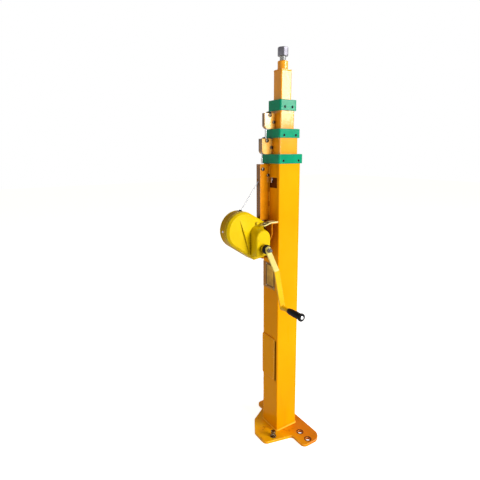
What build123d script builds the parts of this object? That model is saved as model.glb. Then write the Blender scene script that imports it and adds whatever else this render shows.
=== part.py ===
from build123d import *
import os
from math import acos, asin, atan2, cos, degrees, hypot, pi, radians, sin, sqrt, tan

# Telescopic lifting mast with a hand winch: four square tubes, raised together by three wire ropes.
# Millimetres. +Z is up the mast, -Y is the winch side, +X is the crank side.
# The origin is on the mast's axis, on the underside of the base plate.

# Ropes, and the play that each has between two tubes
rope_dia = 4.0
rope_play_1 = 0.75
rope_play_2 = 1.75
rope_play_3 = 0.75
rope_seat_gap = 0.3
rope_end_gap = 0.3
rope_x_1 = -26.0
rope_x_2 = -16.5
rope_x_3 = -8.0

# Tubes, from the innermost outwards
top_tube_width = 48.0
tube_wall = 2.5
tube_corner_r = 5.0
tube_1_length = 1118.0
top_exposed = 101.0
foot_gap = 18.0
foot_step = 20.0

# Guide collars and sliding shoes
collar_wall = 6.0
collar_1_height = 34.0
collar_2_height = 32.0
collar_3_height = 38.0
collar_lip = 13.0
collar_corner_r = 7.0
collar_edge_r = 1.5
slide_clearance = 0.4
seat_clearance = 0.1
shoe_height = 40.0
shoe_ledge = 15.0
screw_inset = 15.0
screw_r = 2.5
screw_head_r = 4.5
screw_head_h = 2.5
screw_sink = 3.0
screw_socket = 4.0
screw_socket_depth = 1.6
hole_play = 0.1

# Base plate
base_thick = 10.0
base_edge = 0.8
base_front = 130.0
base_back = 85.0
base_front_half = 78.0
base_side_half = 106.0
base_right_ear = 177.0
base_left_ear = 152.0
base_ear_front = -12.0
base_cut_x = -62.0
base_cut_y = -86.0
base_cut_end = 6.0
base_front_r = 20.0
base_cut_r = 24.0
base_ear_r = 20.0
base_ear_back_r = 42.0
base_neck_r = 14.0
ear_hole_r = 10.0
ear_hole_edge = 21.0
ear_hole_spacing = 49.0
ear_hole_y = 28.0
plate_bolt_x = 67.0
plate_bolt_front = -80.0
plate_bolt_back = 58.0
plate_bolt_r = 6.0
plate_bolt_across = 18.0
plate_bolt_head_h = 8.0
plate_bolt_stand = 6.0
plate_nut_h = 10.0

# Openings in the winch-side wall of the outer tube
slot_x = 36.0
slot_width = 10.0
slot_bottom = 233.0
slot_length = 175.0
access_x0 = -9.0
access_width = 47.0
access_drop = 110.0
access_height = 38.0

# Rope channel, roller brackets, pulleys and rope ends
sheet = 3.0
bracket_height = 55.0
bracket_rest_gap = 0.5
bracket_2_margin = 2.5
bracket_3_margin = 8.5
bracket_round = 14.0
bracket_2_depth = 7.5
bracket_3_depth = 9.5
channel_foot_gap = 4.0
channel_top_gap = 2.0
channel_round = 5.0
channel_depth = 42.0
channel_slot_play = 1.5
channel_slot_low = 8.0
channel_slot_high = 14.0
pulley_pitch_r = 12.0
pulley_rim = 1.5
pulley_width = 8.0
pulley_side_gap = 1.0
pulley_drop = 64.0
window_gap = 3.0
roller_high = 48.0
roller_low = 24.0
axle_fit = 0.08
m6_r = 3.0
m6_across = 10.0
m6_head_h = 4.0
m6_nut_h = 5.0
m6_thread_out = 2.0
anchor_y = -80.0
anchor_drop = 18.0
eye_width = 5.0
eye_r = 7.0
eye_shank_r = 2.4
eye_shank = 23.0
ferrule_r = 3.5
ferrule_length = 18.0
ferrule_edge = 0.8

# Winch: the crank axis below the outer tube's top, and the gear pair
crank_drop = 324.0
gear_module = 3.0
gear_teeth = 40
pinion_teeth = 16
mesh_angle = -48.4
pressure_angle = 20.0
tooth_addendum = 0.8
tooth_dedendum = 1.05
tooth_backlash = 0.5
flank_points = 5
gear_width = 6.0
gear_gap = 2.5
gear_room = 4.6
pinion_extra = 0.5

# Winch: stand-off, frame and covers
frame_right_x = -4.0
frame_sheet = 4.0
frame_space = 30.0
standoff_depth = 30.0
standoff_right = 48.0
standoff_toe = -12.0
standoff_shoulder = 46.0
standoff_up = 88.0
standoff_down = 61.0
shelf_left = 20.0
shelf_reach = 34.0
shelf_slope = 16.0
shelf_hole_r = 9.0
shell_sheet = 2.0
shell_lip = 1.5
tip_reach = 9.0
tip_drop = 54.0
tip_back_drop = 48.0
tip_r = 6.0
cover_depth = 16.0
cover_sheet = 2.0
cover_bevel = 7.0
brake_depth = 45.0
brake_sheet = 2.5
brake_room_side = 3.5
brake_room_below = 1.5
brake_arch_rise = 37.0
brake_shoulder = 12.0
brake_edge = 3.0
brake_ear = 14.0
brake_gap = 1.0
grommet_r = 7.0
grommet_bore_r = 3.4
grommet_length = 9.0
grommet_edge_r = 1.0
winch_bolt_inset = 9.0
winch_bolt_low = -32.0
winch_bolt_high = 70.0

# Winch: drum, shafts and brake
drum_rope_r = 34.0
drum_flange_gap = 11.0
drum_flange = 3.0
drum_side_gap = 1.0
drum_shaft_r = 10.0
shaft_r = 8.0
bush_wall = 3.0
bush_flange = 2.5
bush_flange_h = 1.5
shaft_fit = 0.06
shaft_end_out = 4.0
shaft_hole_gap = 3.0
brake_start = 4.0
brake_flange_r = 19.5
brake_flange_w = 4.0
disc_w = 3.0
ratchet_w = 7.5
ratchet_gap = 0.3
ratchet_teeth = 12
ratchet_tip_r = 24.0
ratchet_root_r = 18.5
ratchet_angle = 75.0
pawl_pin_r = 3.0
pawl_pin_angle = 122.0
pawl_pin_room = 8.0
pawl_boss_r = 5.5
pawl_clear = 1.4
pawl_swing_gap = 0.5
pawl_pin_out = 1.0

# Crank
hub_r = 12.0
hub_length = 50.0
collar_ring_r = 17.0
collar_ring_w = 24.0
collar_ring_gap = 1.0
crank_length = 223.0
crank_angle = -78.8
arm_width = 22.0
arm_thick = 6.0
arm_joggle = 29.0
arm_joggle_start = 13.0
arm_joggle_end = 74.0
crank_thread_r = 6.0
crank_thread_out = 3.0
crank_nut_across = 19.0
crank_nut_h = 9.0
spindle_r = 5.0
spindle_boss_r = 10.5
spindle_boss = 34.0
grip_length = 73.0
grip_r = 11.5
grip_swell = 1.0
grip_neck_r = 10.0
grip_neck_w = 6.0
grip_flange_r = 14.5
grip_flange_w = 7.0
grip_end_gap = 0.4
grip_cap_r = 9.0
grip_cap_w = 3.0
grip_cap_edge_r = 1.2

# Head of the mast
cap_thick = 4.0
head_bush_r = 19.0
head_bush_h = 30.0
head_bush_edge = 1.5
stud_r = 11.7
thread_r = 12.0
stud_end_gap = 0.5
stud_neck = 17.0
stud_bite = 15.0
nut_across = 36.0
nut_height = 29.0
nut_edge = 1.6

# Tube widths and the rope's place between each two tubes
rope_r = rope_dia / 2
gap_1 = rope_dia + 2 * rope_play_1
gap_2 = rope_dia + 2 * rope_play_2
gap_3 = rope_dia + 2 * rope_play_3
width_4 = top_tube_width
width_3 = width_4 + 2 * (gap_3 + tube_wall)
width_2 = width_3 + 2 * (gap_2 + tube_wall)
width_1 = width_2 + 2 * (gap_1 + tube_wall)
front_1 = -width_1 / 2
front_2 = -width_2 / 2
front_3 = -width_3 / 2
run_y_1 = front_2 - gap_1 / 2
run_y_2 = front_3 - gap_2 / 2
run_y_3 = -width_4 / 2 - gap_3 / 2

# Heights, each collar and bracket standing on the one below it
tube_1_top = base_thick + tube_1_length
collar_1_top = tube_1_top + collar_lip
bracket_2_foot = collar_1_top + bracket_rest_gap
collar_2_top = bracket_2_foot + bracket_height + bracket_2_margin + collar_2_height
tube_2_top = collar_2_top - collar_lip
bracket_3_foot = collar_2_top + bracket_rest_gap
collar_3_top = bracket_3_foot + bracket_height + bracket_3_margin + collar_3_height
tube_3_top = collar_3_top - collar_lip
tube_4_top = collar_3_top + top_exposed
foot_2 = base_thick + foot_gap
foot_3 = foot_2 + foot_step
foot_4 = foot_3 + foot_step
crank_z = tube_1_top - crank_drop

# Pulleys as Y and Z, each one tangent to the ropes that it joins
pulley_1 = (run_y_1 - pulley_pitch_r, tube_1_top - pulley_drop)
outer_2 = (anchor_y + pulley_pitch_r, bracket_2_foot + roller_high)
inner_2 = (run_y_2 - pulley_pitch_r, bracket_2_foot + roller_low)
outer_3 = (outer_2[0] + pulley_pitch_r, bracket_3_foot + roller_high)
inner_3 = (run_y_3 - pulley_pitch_r, bracket_3_foot + roller_low)

# Channel and the inner widths of channel and brackets, wide enough for a pulley and a rope end
side_room = pulley_width / 2 + pulley_side_gap
eye_room = eye_width / 2 + pulley_side_gap
channel_top = collar_1_top - collar_1_height - channel_top_gap
channel_out = front_1 - channel_depth
anchor = (anchor_y, channel_top - anchor_drop)
span_1 = (rope_x_1 - side_room, rope_x_2 + eye_room)
span_2 = (rope_x_2 - side_room, rope_x_3 + eye_room)
span_3 = (rope_x_3 - side_room, rope_x_3 + side_room)

# Winch places, from the gear pair and the covers round it
gear_r = gear_module * gear_teeth / 2
pinion_r = gear_module * pinion_teeth / 2
shell_r = gear_r + tooth_addendum * gear_module + gear_room + cover_sheet
drum_flange_r = shell_r - shell_sheet - drum_flange_gap
frame_back_y = front_1 - standoff_depth
frame_front_y = frame_back_y - frame_sheet
brake_half = ratchet_tip_r + brake_room_side + brake_sheet
brake_low = crank_z - ratchet_tip_r - brake_room_below - brake_sheet
brake_rise = crank_z + brake_arch_rise
crank_y = frame_front_y - cover_bevel - brake_gap - brake_half
drum_y = crank_y - (gear_r + pinion_r) * cos(radians(mesh_angle))
drum_z = crank_z - (gear_r + pinion_r) * sin(radians(mesh_angle))
standoff_top = crank_z + standoff_up
standoff_foot = crank_z - standoff_down
channel_foot = standoff_top + channel_foot_gap
tip = (crank_y - tip_reach, crank_z - tip_drop)
tip_back_z = crank_z - tip_back_drop
plate_right_x = frame_right_x - frame_sheet
plate_left_x = plate_right_x - frame_space
frame_left_x = plate_left_x - frame_sheet
shaft_left_x = frame_left_x - bush_flange_h - shaft_end_out
gear_x = frame_right_x + gear_gap
cover_front_x = frame_right_x + cover_depth
brake_front_x = cover_front_x + brake_depth
pawl_reach = ratchet_tip_r + pawl_boss_r + pawl_pin_room
pawl_dy = pawl_reach * cos(radians(pawl_pin_angle))
pawl_dz = pawl_reach * sin(radians(pawl_pin_angle))
pawl_place = (crank_y + pawl_dy, crank_z + pawl_dz)
toe_r = ratchet_root_r + pawl_clear

# The brake stack and the crank, along X
brake_x = cover_front_x + brake_start
disc_x_1 = brake_x + brake_flange_w
ratchet_x = disc_x_1 + disc_w + ratchet_gap
disc_x_2 = ratchet_x + ratchet_w + ratchet_gap
hub_x = disc_x_2 + disc_w
arm_x = hub_x + hub_length
arm_face_x = arm_x + arm_thick
grip_x = arm_face_x + arm_joggle + spindle_boss + grip_end_gap
grip_end_x = grip_x + grip_length

# Head of the mast
bush_z = tube_4_top + cap_thick
nut_z = bush_z + head_bush_h + stud_neck


# Plain solids
def block(x0, x1, y0, y1, z0, z1):
    low = (Align.MIN, Align.MIN, Align.MIN)
    return Pos(x0, y0, z0) * Box(x1 - x0, y1 - y0, z1 - z0, align=low)


def standing(r, height):
    return Cylinder(r, height, align=(Align.CENTER, Align.CENTER, Align.MIN))


def rod_x(x0, x1, at, r):
    return Pos(x0, *at) * Rot(0, 90, 0) * standing(r, x1 - x0)


def ring_x(x0, x1, at, r_out, r_in):
    return rod_x(x0, x1, at, r_out) - rod_x(x0, x1, at, r_in)


def rod_z(x, y, z0, z1, r):
    return Pos(x, y, z0) * standing(r, z1 - z0)


def hexagon(across):
    return RegularPolygon(across / 2, 6, major_radius=False, rotation=30)


def side_plate(face, x0, x1):
    # A face drawn in the mast's Y and Z, given its thickness along X
    return extrude(Plane.YZ.offset(x0) * face, x1 - x0)


def hex_x(x0, x1, at, across):
    return side_plate(Pos(*at) * hexagon(across), x0, x1)


def hex_z(x, y, z0, z1, across):
    return extrude(Pos(x, y, z0) * hexagon(across), z1 - z0)


def square_prism(width, r, z0, z1):
    return extrude(Pos(0, 0, z0) * RectangleRounded(width, width, r), z1 - z0)


def polygon_face(points):
    return make_face(Polyline(*points, close=True))


def polar(r, angle):
    return (r * cos(radians(angle)), r * sin(radians(angle)))


def span(side, a, b):
    # Two distances from the mast's axis as X limits on one side of it
    return sorted((side * a, side * b))


def save(name, shape):
    export_step(shape, "parts/" + name + ".step")


def save_group(name, shapes):
    save(name, Compound(children=shapes))


# Tubes, collars and shoes
def square_tube(width, z0, z1):
    inside = square_prism(width - 2 * tube_wall, tube_corner_r - tube_wall, z0, z1)
    return square_prism(width, tube_corner_r, z0, z1) - inside


def wall_opening(x0, x1, face_y, z0, z1):
    return block(x0, x1, face_y - 1, face_y + tube_wall + 1, z0, z1)


def pulley_window(x, z, face_y):
    rise = pulley_pitch_r + rope_r + window_gap
    return wall_opening(x - side_room, x + side_room, face_y, z - rise, z + rise)


def screw_places(width, top, height):
    # Side, Y and Z of the four screws of one collar
    z = top - collar_lip - (height - collar_lip) / 2
    y = width / 2 - screw_inset
    return [(side, (sign * y, z)) for side in (-1, 1) for sign in (-1, 1)]


def drill_screws(body, width, top, height):
    for side, at in screw_places(width, top, height):
        limits = span(side, width / 2 - tube_wall - 1, width / 2 + collar_wall + 1)
        body -= rod_x(*limits, at, screw_r + hole_play)
    return body


def collar(width, next_width, top, height):
    bottom = top - height
    body = square_prism(width + 2 * collar_wall, collar_corner_r, bottom, top)
    body = fillet(body.faces().sort_by(Axis.Z)[-1].edges(), collar_edge_r)
    seat_width = width + 2 * seat_clearance
    bore_width = next_width + 2 * slide_clearance
    body -= square_prism(seat_width, tube_corner_r + seat_clearance, bottom, top - collar_lip)
    body -= square_prism(bore_width, tube_corner_r + slide_clearance, bottom, top)
    face_x = width / 2 + collar_wall
    for side, at in screw_places(width, top, height):
        body -= rod_x(*span(side, face_x - screw_sink, face_x + 1), at, screw_head_r + 2 * hole_play)
    return drill_screws(body, width, top, height)


def collar_screws(width, top, height):
    seat_x = width / 2 + collar_wall - screw_sink
    head_x = seat_x + screw_head_h
    screws = []
    for side, at in screw_places(width, top, height):
        screw = rod_x(*span(side, seat_x, head_x), at, screw_head_r)
        screw += rod_x(*span(side, width / 2 - tube_wall, seat_x), at, screw_r)
        screws.append(screw - hex_x(*span(side, head_x - screw_socket_depth, head_x), at, screw_socket))
    return screws


def sliding_shoe(width, outer_width, foot, rope_x):
    # A nylon ring round a tube's foot, with a slot for the rope above a solid ledge
    top = foot + shoe_height
    outside = outer_width - 2 * tube_wall - 2 * slide_clearance
    body = square_prism(outside, tube_corner_r - tube_wall, foot, top)
    body -= square_prism(width + 2 * seat_clearance, tube_corner_r + seat_clearance, foot, top)
    half = rope_r + rope_seat_gap
    return body - block(rope_x - half, rope_x + half, -outer_width / 2, 0, foot + shoe_ledge, top)


# Ropes and their ends
def rope_along(edges):
    path = Wire(edges)
    section = Plane(origin=path @ 0, z_dir=path % 0) * Circle(rope_r)
    return sweep(section, path=path)


def arc_edge(x, centre, r, start, end):
    turns = (start, (start + end) / 2, end)
    return Edge.make_three_point_arc(*[(x, centre[0] + r * cos(a), centre[1] + r * sin(a)) for a in turns])


def rope_over(x, outer, inner):
    # Up and over two pulleys of one size, along the line that touches both from above
    lift = atan2(inner[1] - outer[1], inner[0] - outer[0]) + pi / 2
    rise = (pulley_pitch_r * cos(lift), pulley_pitch_r * sin(lift))
    leave = (x, outer[0] + rise[0], outer[1] + rise[1])
    meet = (x, inner[0] + rise[0], inner[1] + rise[1])
    first = arc_edge(x, outer, pulley_pitch_r, pi, lift)
    last = arc_edge(x, inner, pulley_pitch_r, lift, 0)
    return rope_along([first, Edge.make_line(leave, meet), last])


def rope_run(x, y, z0, z1):
    return rod_z(x, y, z0 + rope_end_gap, z1 - rope_end_gap, rope_r)


def rope_eye(x, at):
    # A pressed rope end: an eye on its bolt, a shank and a ferrule above it
    eye = ring_x(x - eye_width / 2, x + eye_width / 2, at, eye_r, m6_r + axle_fit)
    ferrule_z = at[1] + eye_shank
    shank = rod_z(x, at[0], at[1] + (eye_r + m6_r) / 2, ferrule_z + 1, eye_shank_r)
    ferrule = rod_z(x, at[0], ferrule_z, ferrule_z + ferrule_length, ferrule_r)
    return eye + shank + chamfer(ferrule.edges().filter_by(GeomType.CIRCLE), ferrule_edge)


# The winch rope's line touches the drum and the pulley from above
lead_dy = pulley_1[0] - drum_y
lead_dz = pulley_1[1] - drum_z
lead_angle = atan2(lead_dz, lead_dy) - asin((drum_rope_r - pulley_pitch_r) / hypot(lead_dy, lead_dz))
lead_lift = lead_angle + pi / 2
lead_start = (drum_y + drum_rope_r * cos(lead_lift), drum_z + drum_rope_r * sin(lead_lift))
lead_end = (pulley_1[0] + pulley_pitch_r * cos(lead_lift), pulley_1[1] + pulley_pitch_r * sin(lead_lift))


def lead_rope():
    straight = Edge.make_line((rope_x_1, *lead_start), (rope_x_1, *lead_end))
    return rope_along([straight, arc_edge(rope_x_1, pulley_1, pulley_pitch_r, lead_lift, 0)])


# Channel, brackets and pulleys
def pulley(x, at):
    rim_r = pulley_pitch_r + pulley_rim
    half = rope_r + rope_seat_gap
    body = ring_x(x - pulley_width / 2, x + pulley_width / 2, at, rim_r, m6_r + axle_fit)
    body -= Pos(x, *at) * Rot(0, 90, 0) * Torus(pulley_pitch_r, half)
    return body - ring_x(x - half, x + half, at, rim_r + 1, pulley_pitch_r)


def axle_bolt(inner, at):
    # Across two legs, with its head on the crank side
    x0 = inner[0] - sheet
    x1 = inner[1] + sheet
    bolt = rod_x(x0 - m6_nut_h - m6_thread_out, x1, at, m6_r)
    bolt += hex_x(x1, x1 + m6_head_h, at, m6_across)
    return bolt + hex_x(x0 - m6_nut_h, x0, at, m6_across)


def sheet_channel(inner, y_out, face_y, z0, z1, round_r, holes):
    # A U of sheet standing off a tube face, its lower outer corner rounded
    outline = polygon_face([(y_out, z0), (face_y, z0), (face_y, z1), (y_out, z1)])
    outline = fillet(outline.vertices().sort_by(lambda v: v.X + v.Y)[0], round_r)
    body = side_plate(outline, inner[0] - sheet, inner[1] + sheet)
    body -= block(inner[0], inner[1], y_out + sheet, face_y + 1, z0 - 1, z1 + 1)
    for at in holes:
        body -= rod_x(inner[0] - sheet - 1, inner[1] + sheet + 1, at, m6_r + hole_play)
    return body


def roller_bracket(inner, depth, face_y, foot, outer_at, inner_at):
    y_out = outer_at[0] - pulley_pitch_r - pulley_rim - depth
    top = foot + bracket_height
    return sheet_channel(inner, y_out, face_y, foot, top, bracket_round, (outer_at, inner_at))


def rope_channel():
    body = sheet_channel(
        span_1, channel_out, front_1, channel_foot, channel_top, channel_round, (pulley_1, anchor))
    half = rope_r + channel_slot_play
    z = lead_start[1] + (channel_out - lead_start[0]) * tan(lead_angle)
    return body - block(
        rope_x_1 - half, rope_x_1 + half, channel_out - 1, channel_out + sheet + 1,
        z - channel_slot_low, z + channel_slot_high)


# Base
def ear_hole_places():
    outer = (base_right_ear - ear_hole_edge, -base_left_ear + ear_hole_edge)
    inward = (-ear_hole_spacing, ear_hole_spacing)
    return [x + step * k for x, step in zip(outer, inward) for k in range(2)]


def plate_bolt_places():
    return [(plate_bolt_x, plate_bolt_front), (-plate_bolt_x, plate_bolt_back)]


def base_plate():
    # An ear on each side, the left one shorter, and the left front corner cut off
    corners = [
        (base_front_half, -base_front, base_front_r),
        (base_side_half, base_ear_front, base_neck_r),
        (base_right_ear, base_ear_front, base_ear_r),
        (base_right_ear, base_back, base_ear_back_r),
        (-base_left_ear, base_back, base_ear_back_r),
        (-base_left_ear, base_ear_front, base_ear_r),
        (-base_side_half, base_ear_front, base_neck_r),
        (base_cut_x, base_cut_y, base_cut_r),
        (base_cut_end, -base_front, base_cut_r),
    ]
    outline = polygon_face([(x, y) for x, y, r in corners])
    for x, y, r in corners:
        outline = fillet(outline.vertices().sort_by_distance((x, y, 0))[0], r)
    plate = extrude(outline, base_thick)
    plate = chamfer(plate.faces().sort_by(Axis.Z)[-1].edges(), base_edge)
    for x in ear_hole_places():
        plate -= rod_z(x, ear_hole_y, -1, base_thick + 1, ear_hole_r)
    for x, y in plate_bolt_places():
        plate -= rod_z(x, y, -1, base_thick + 1, plate_bolt_r + hole_play)
    return plate


def plate_bolt(x, y):
    nut_top = base_thick + plate_nut_h
    head_z = nut_top + plate_bolt_stand
    bolt = rod_z(x, y, base_edge, head_z, plate_bolt_r)
    bolt += hex_z(x, y, base_thick, nut_top, plate_bolt_across)
    return bolt + hex_z(x, y, head_z, head_z + plate_bolt_head_h, plate_bolt_across)


# Winch frame and covers
def tangent_point(point, r, sign):
    dy = point[0] - drum_y
    dz = point[1] - drum_z
    turn = atan2(dz, dy) + sign * acos(r / hypot(dy, dz))
    return (drum_y + r * cos(turn), drum_z + r * sin(turn))


def drum_outline(r):
    # An arc round the drum, a slope down to the tip and a straight back
    top = (frame_front_y, standoff_top)
    start = tangent_point(top, r, 1)
    end = tangent_point(tip, r, -1)
    away = atan2(start[1] + end[1] - 2 * drum_z, start[0] + end[0] - 2 * drum_y)
    middle = (drum_y + r * cos(away), drum_z + r * sin(away))
    sides = Polyline(end, tip, (frame_front_y, tip_back_z), top, start)
    face = make_face(sides.edges() + [ThreePointArc(start, middle, end)])
    return fillet(face.vertices().sort_by_distance((*tip, 0))[0], tip_r)


def bearing_places():
    return [((drum_y, drum_z), drum_shaft_r), ((crank_y, crank_z), shaft_r)]


def winch_bolt_places():
    xs = (plate_left_x + winch_bolt_inset, plate_right_x - winch_bolt_inset)
    return [(x, crank_z + z) for x in xs for z in (winch_bolt_low, winch_bolt_high)]


def drill_winch_bolts(body):
    for x, z in winch_bolt_places():
        drill = standing(m6_r + hole_play, 2 * frame_sheet + 2)
        body -= Pos(x, frame_front_y - 1, z) * Rot(-90, 0, 0) * drill
    return body


def winch_frame():
    plate = drum_outline(shell_r + shell_lip)
    body = block(frame_left_x, frame_right_x, frame_front_y, frame_back_y, tip_back_z, standoff_top)
    body += side_plate(plate, frame_left_x, plate_left_x)
    body += side_plate(plate, plate_right_x, frame_right_x)
    for at, r in bearing_places():
        body -= rod_x(frame_left_x - 1, frame_right_x + 1, at, r + bush_wall + seat_clearance)
    return drill_winch_bolts(body)


def flanged_bush(at, r, x0, x1, flange_x):
    body = rod_x(x0, x1, at, r + bush_wall)
    body += rod_x(flange_x, flange_x + bush_flange_h, at, r + bush_wall + bush_flange)
    return body - rod_x(x0 - 2 * bush_flange_h, x1 + 2 * bush_flange_h, at, r + shaft_fit)


def bushes():
    made = []
    for at, r in bearing_places():
        made.append(flanged_bush(at, r, frame_left_x, plate_left_x, frame_left_x - bush_flange_h))
        made.append(flanged_bush(at, r, plate_right_x, frame_right_x, frame_right_x))
    return made


def standoff_bracket():
    # A plate that narrows towards its foot, with a flange to the tube at each end
    back = frame_back_y + frame_sheet
    left = frame_left_x
    outline = polygon_face([
        (left, standoff_foot),
        (standoff_toe, standoff_foot),
        (standoff_right, crank_z + standoff_shoulder),
        (standoff_right, standoff_top),
        (left, standoff_top),
    ])
    body = extrude(Plane.XZ.offset(-back) * outline, frame_sheet)
    body += block(left, standoff_right, back, front_1, standoff_top - frame_sheet, standoff_top)
    body += block(left, standoff_toe, back, front_1, standoff_foot, standoff_foot + frame_sheet)
    return drill_winch_bolts(body)


def pin_shelf():
    # A tab lying on the stand-off's top flange, its outer part bent down and drilled
    top = standoff_top + frame_sheet
    width = standoff_right - shelf_left
    bend_y = frame_back_y - frame_sheet * sin(radians(shelf_slope))
    body = block(shelf_left, standoff_right, bend_y, front_1, standoff_top, top)
    tongue = Box(width, shelf_reach, frame_sheet, align=(Align.MIN, Align.MAX, Align.MIN))
    tongue -= rod_z(width / 2, -shelf_reach / 2, -1, frame_sheet + 1, shelf_hole_r)
    return body + Pos(shelf_left, frame_back_y, standoff_top) * Rot(shelf_slope, 0, 0) * tongue


def frame_bolt(x, z):
    # Its head is on the drum's side of the frame and its nut behind the stand-off
    grip = 2 * frame_sheet
    bolt = Pos(0, 0, -m6_head_h) * extrude(hexagon(m6_across), m6_head_h)
    bolt += standing(m6_r, grip + m6_nut_h + m6_thread_out)
    bolt += Pos(0, 0, grip) * extrude(hexagon(m6_across), m6_nut_h)
    return Pos(x, frame_front_y, z) * Rot(-90, 0, 0) * bolt


def cover_screw(at):
    head_x = cover_front_x + brake_sheet
    screw = rod_x(cover_front_x - cover_sheet - m6_thread_out, head_x, at, m6_r)
    return screw + hex_x(head_x, head_x + m6_head_h, at, m6_across)


def along_lead(r, length):
    # A round bar on the winch rope's line, centred where the rope leaves the shell
    step = sqrt((shell_r - shell_sheet / 2) ** 2 - drum_rope_r ** 2)
    y = lead_start[0] + step * cos(lead_angle)
    z = lead_start[1] + step * sin(lead_angle)
    return Pos(rope_x_1, y, z) * Rot(degrees(lead_angle) - 90, 0, 0) * Cylinder(r, length)


def drum_shell():
    # Rolled sheet between the frame plates, from the back plate's top round to the tip
    outline = drum_outline(shell_r)
    body = side_plate(outline, plate_left_x, plate_right_x)
    body -= side_plate(offset(outline, -shell_sheet), plate_left_x, plate_right_x)
    back_y = frame_front_y - 2 * shell_sheet
    body -= block(plate_left_x, plate_right_x, back_y, 0, tip[1] - 9, standoff_top - 9)
    return body - along_lead(grommet_r + seat_clearance, 4 * grommet_length)


def rope_grommet():
    ring = along_lead(grommet_r, grommet_length) - along_lead(grommet_bore_r, 2 * grommet_length)
    return fillet(ring.edges().filter_by(GeomType.CIRCLE), grommet_edge_r)


def pressed_dish(outline, x0, x1, bevel):
    # A straight rim, then a 45 degree bevel up to the front face
    body = side_plate(outline, x0, x1 - bevel)
    return body + extrude(Plane.YZ.offset(x1 - bevel) * outline, bevel, taper=45)


def gear_cover():
    rim = drum_outline(shell_r)
    body = pressed_dish(rim, frame_right_x, cover_front_x, cover_bevel)
    inner_front = cover_front_x - cover_sheet
    body -= pressed_dish(offset(rim, -cover_sheet), frame_right_x, inner_front, cover_bevel - cover_sheet)
    body -= rod_x(frame_right_x, cover_front_x + 1, (crank_y, crank_z), shaft_r + shaft_hole_gap)
    body -= rod_x(frame_right_x, cover_front_x + 1, pawl_place, pawl_pin_r)
    for at in brake_ears():
        body -= rod_x(frame_right_x, cover_front_x + 1, at, m6_r + hole_play)
    return body


def brake_ears():
    ear_r = brake_ear / 2
    top = brake_rise + brake_shoulder + brake_half
    return [(crank_y, brake_low - ear_r), (crank_y, top + ear_r)]


def arch_face(rise, inset):
    # A flat foot, straight sides and a round top
    half = brake_half - inset
    left = crank_y - half
    right = crank_y + half
    foot = brake_low + inset
    sides = Polyline((left, rise), (left, foot), (right, foot), (right, rise))
    top = ThreePointArc((right, rise), (crank_y, rise + half), (left, rise))
    return make_face(sides.edges() + [top])


def brake_hood(x0, x1, inset):
    # The round top comes down from the back to the front, whose edge is bevelled
    back = Plane.YZ.offset(x0) * arch_face(brake_rise + brake_shoulder, inset)
    rim = Plane.YZ.offset(x1 - brake_edge) * arch_face(brake_rise, inset)
    front = Plane.YZ.offset(x1) * arch_face(brake_rise, inset + brake_edge)
    return loft([back, rim, front], ruled=True)


def brake_cover():
    body = brake_hood(cover_front_x, brake_front_x, 0)
    ear_x = cover_front_x + brake_sheet
    for at, inward in zip(brake_ears(), (1, -1)):
        z0, z1 = sorted((at[1], at[1] + inward * brake_ear))
        body += rod_x(cover_front_x, ear_x, at, brake_ear / 2)
        body += block(cover_front_x, ear_x, crank_y - brake_ear / 2, crank_y + brake_ear / 2, z0, z1)
        body -= rod_x(cover_front_x - 1, ear_x + 1, at, m6_r + hole_play)
    body -= brake_hood(cover_front_x, brake_front_x - brake_sheet, brake_sheet)
    body -= rod_x(cover_front_x, brake_front_x + 1, (crank_y, crank_z), hub_r + shaft_hole_gap)
    return body - rod_x(cover_front_x, brake_front_x + 1, pawl_place, pawl_pin_r)


# Drum, gears and brake
def gear_face(teeth, start_deg):
    # Involute teeth, a little thin so that the pair has backlash
    pitch_r = gear_module * teeth / 2
    base_r = pitch_r * cos(radians(pressure_angle))
    tip_circle = pitch_r + tooth_addendum * gear_module
    root_circle = pitch_r - tooth_dedendum * gear_module
    half_at_pitch = (pi * gear_module - tooth_backlash) / (4 * pitch_r)

    def involute(r):
        a = acos(base_r / max(r, base_r))
        return tan(a) - a

    low = max(root_circle, base_r)
    radii = [low + (tip_circle - low) * k / (flank_points - 1) for k in range(flank_points)]
    if root_circle < base_r:
        radii = [root_circle] + radii
    points = []
    for k in range(teeth):
        middle = radians(start_deg) + 2 * pi * k / teeth
        halves = [half_at_pitch + involute(pitch_r) - involute(r) for r in radii]
        points += [(r, middle - h) for r, h in zip(radii, halves)]
        points += [(r, middle + h) for r, h in reversed(list(zip(radii, halves)))]
    return polygon_face([(r * cos(a), r * sin(a)) for r, a in points])


def drum_gear():
    at = (drum_y, drum_z)
    body = side_plate(Pos(*at) * gear_face(gear_teeth, mesh_angle), gear_x, gear_x + gear_width)
    return body - rod_x(gear_x - 1, gear_x + gear_width + 1, at, drum_shaft_r)


def winch_drum():
    # Barrel, flanges and shaft, welded into one
    at = (drum_y, drum_z)
    x0 = plate_left_x + drum_side_gap
    x1 = plate_right_x - drum_side_gap
    body = rod_x(x0, x1, at, drum_rope_r - rope_r - rope_seat_gap)
    body += rod_x(x0, x0 + drum_flange, at, drum_flange_r)
    body += rod_x(x1 - drum_flange, x1, at, drum_flange_r)
    return body + rod_x(shaft_left_x, gear_x + gear_width, at, drum_shaft_r)


def pinion_shaft():
    at = (crank_y, crank_z)
    teeth = gear_face(pinion_teeth, mesh_angle + 180 + 180 / pinion_teeth)
    body = side_plate(Pos(*at) * teeth, gear_x - pinion_extra, gear_x + gear_width + pinion_extra)
    body += rod_x(shaft_left_x, arm_x, at, shaft_r)
    body += rod_x(brake_x, disc_x_1, at, brake_flange_r)
    return body + rod_x(arm_x, arm_face_x + crank_nut_h + crank_thread_out, at, crank_thread_r)


def friction_disc(x):
    return ring_x(x, x + disc_w, (crank_y, crank_z), brake_flange_r, shaft_r + seat_clearance)


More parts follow.
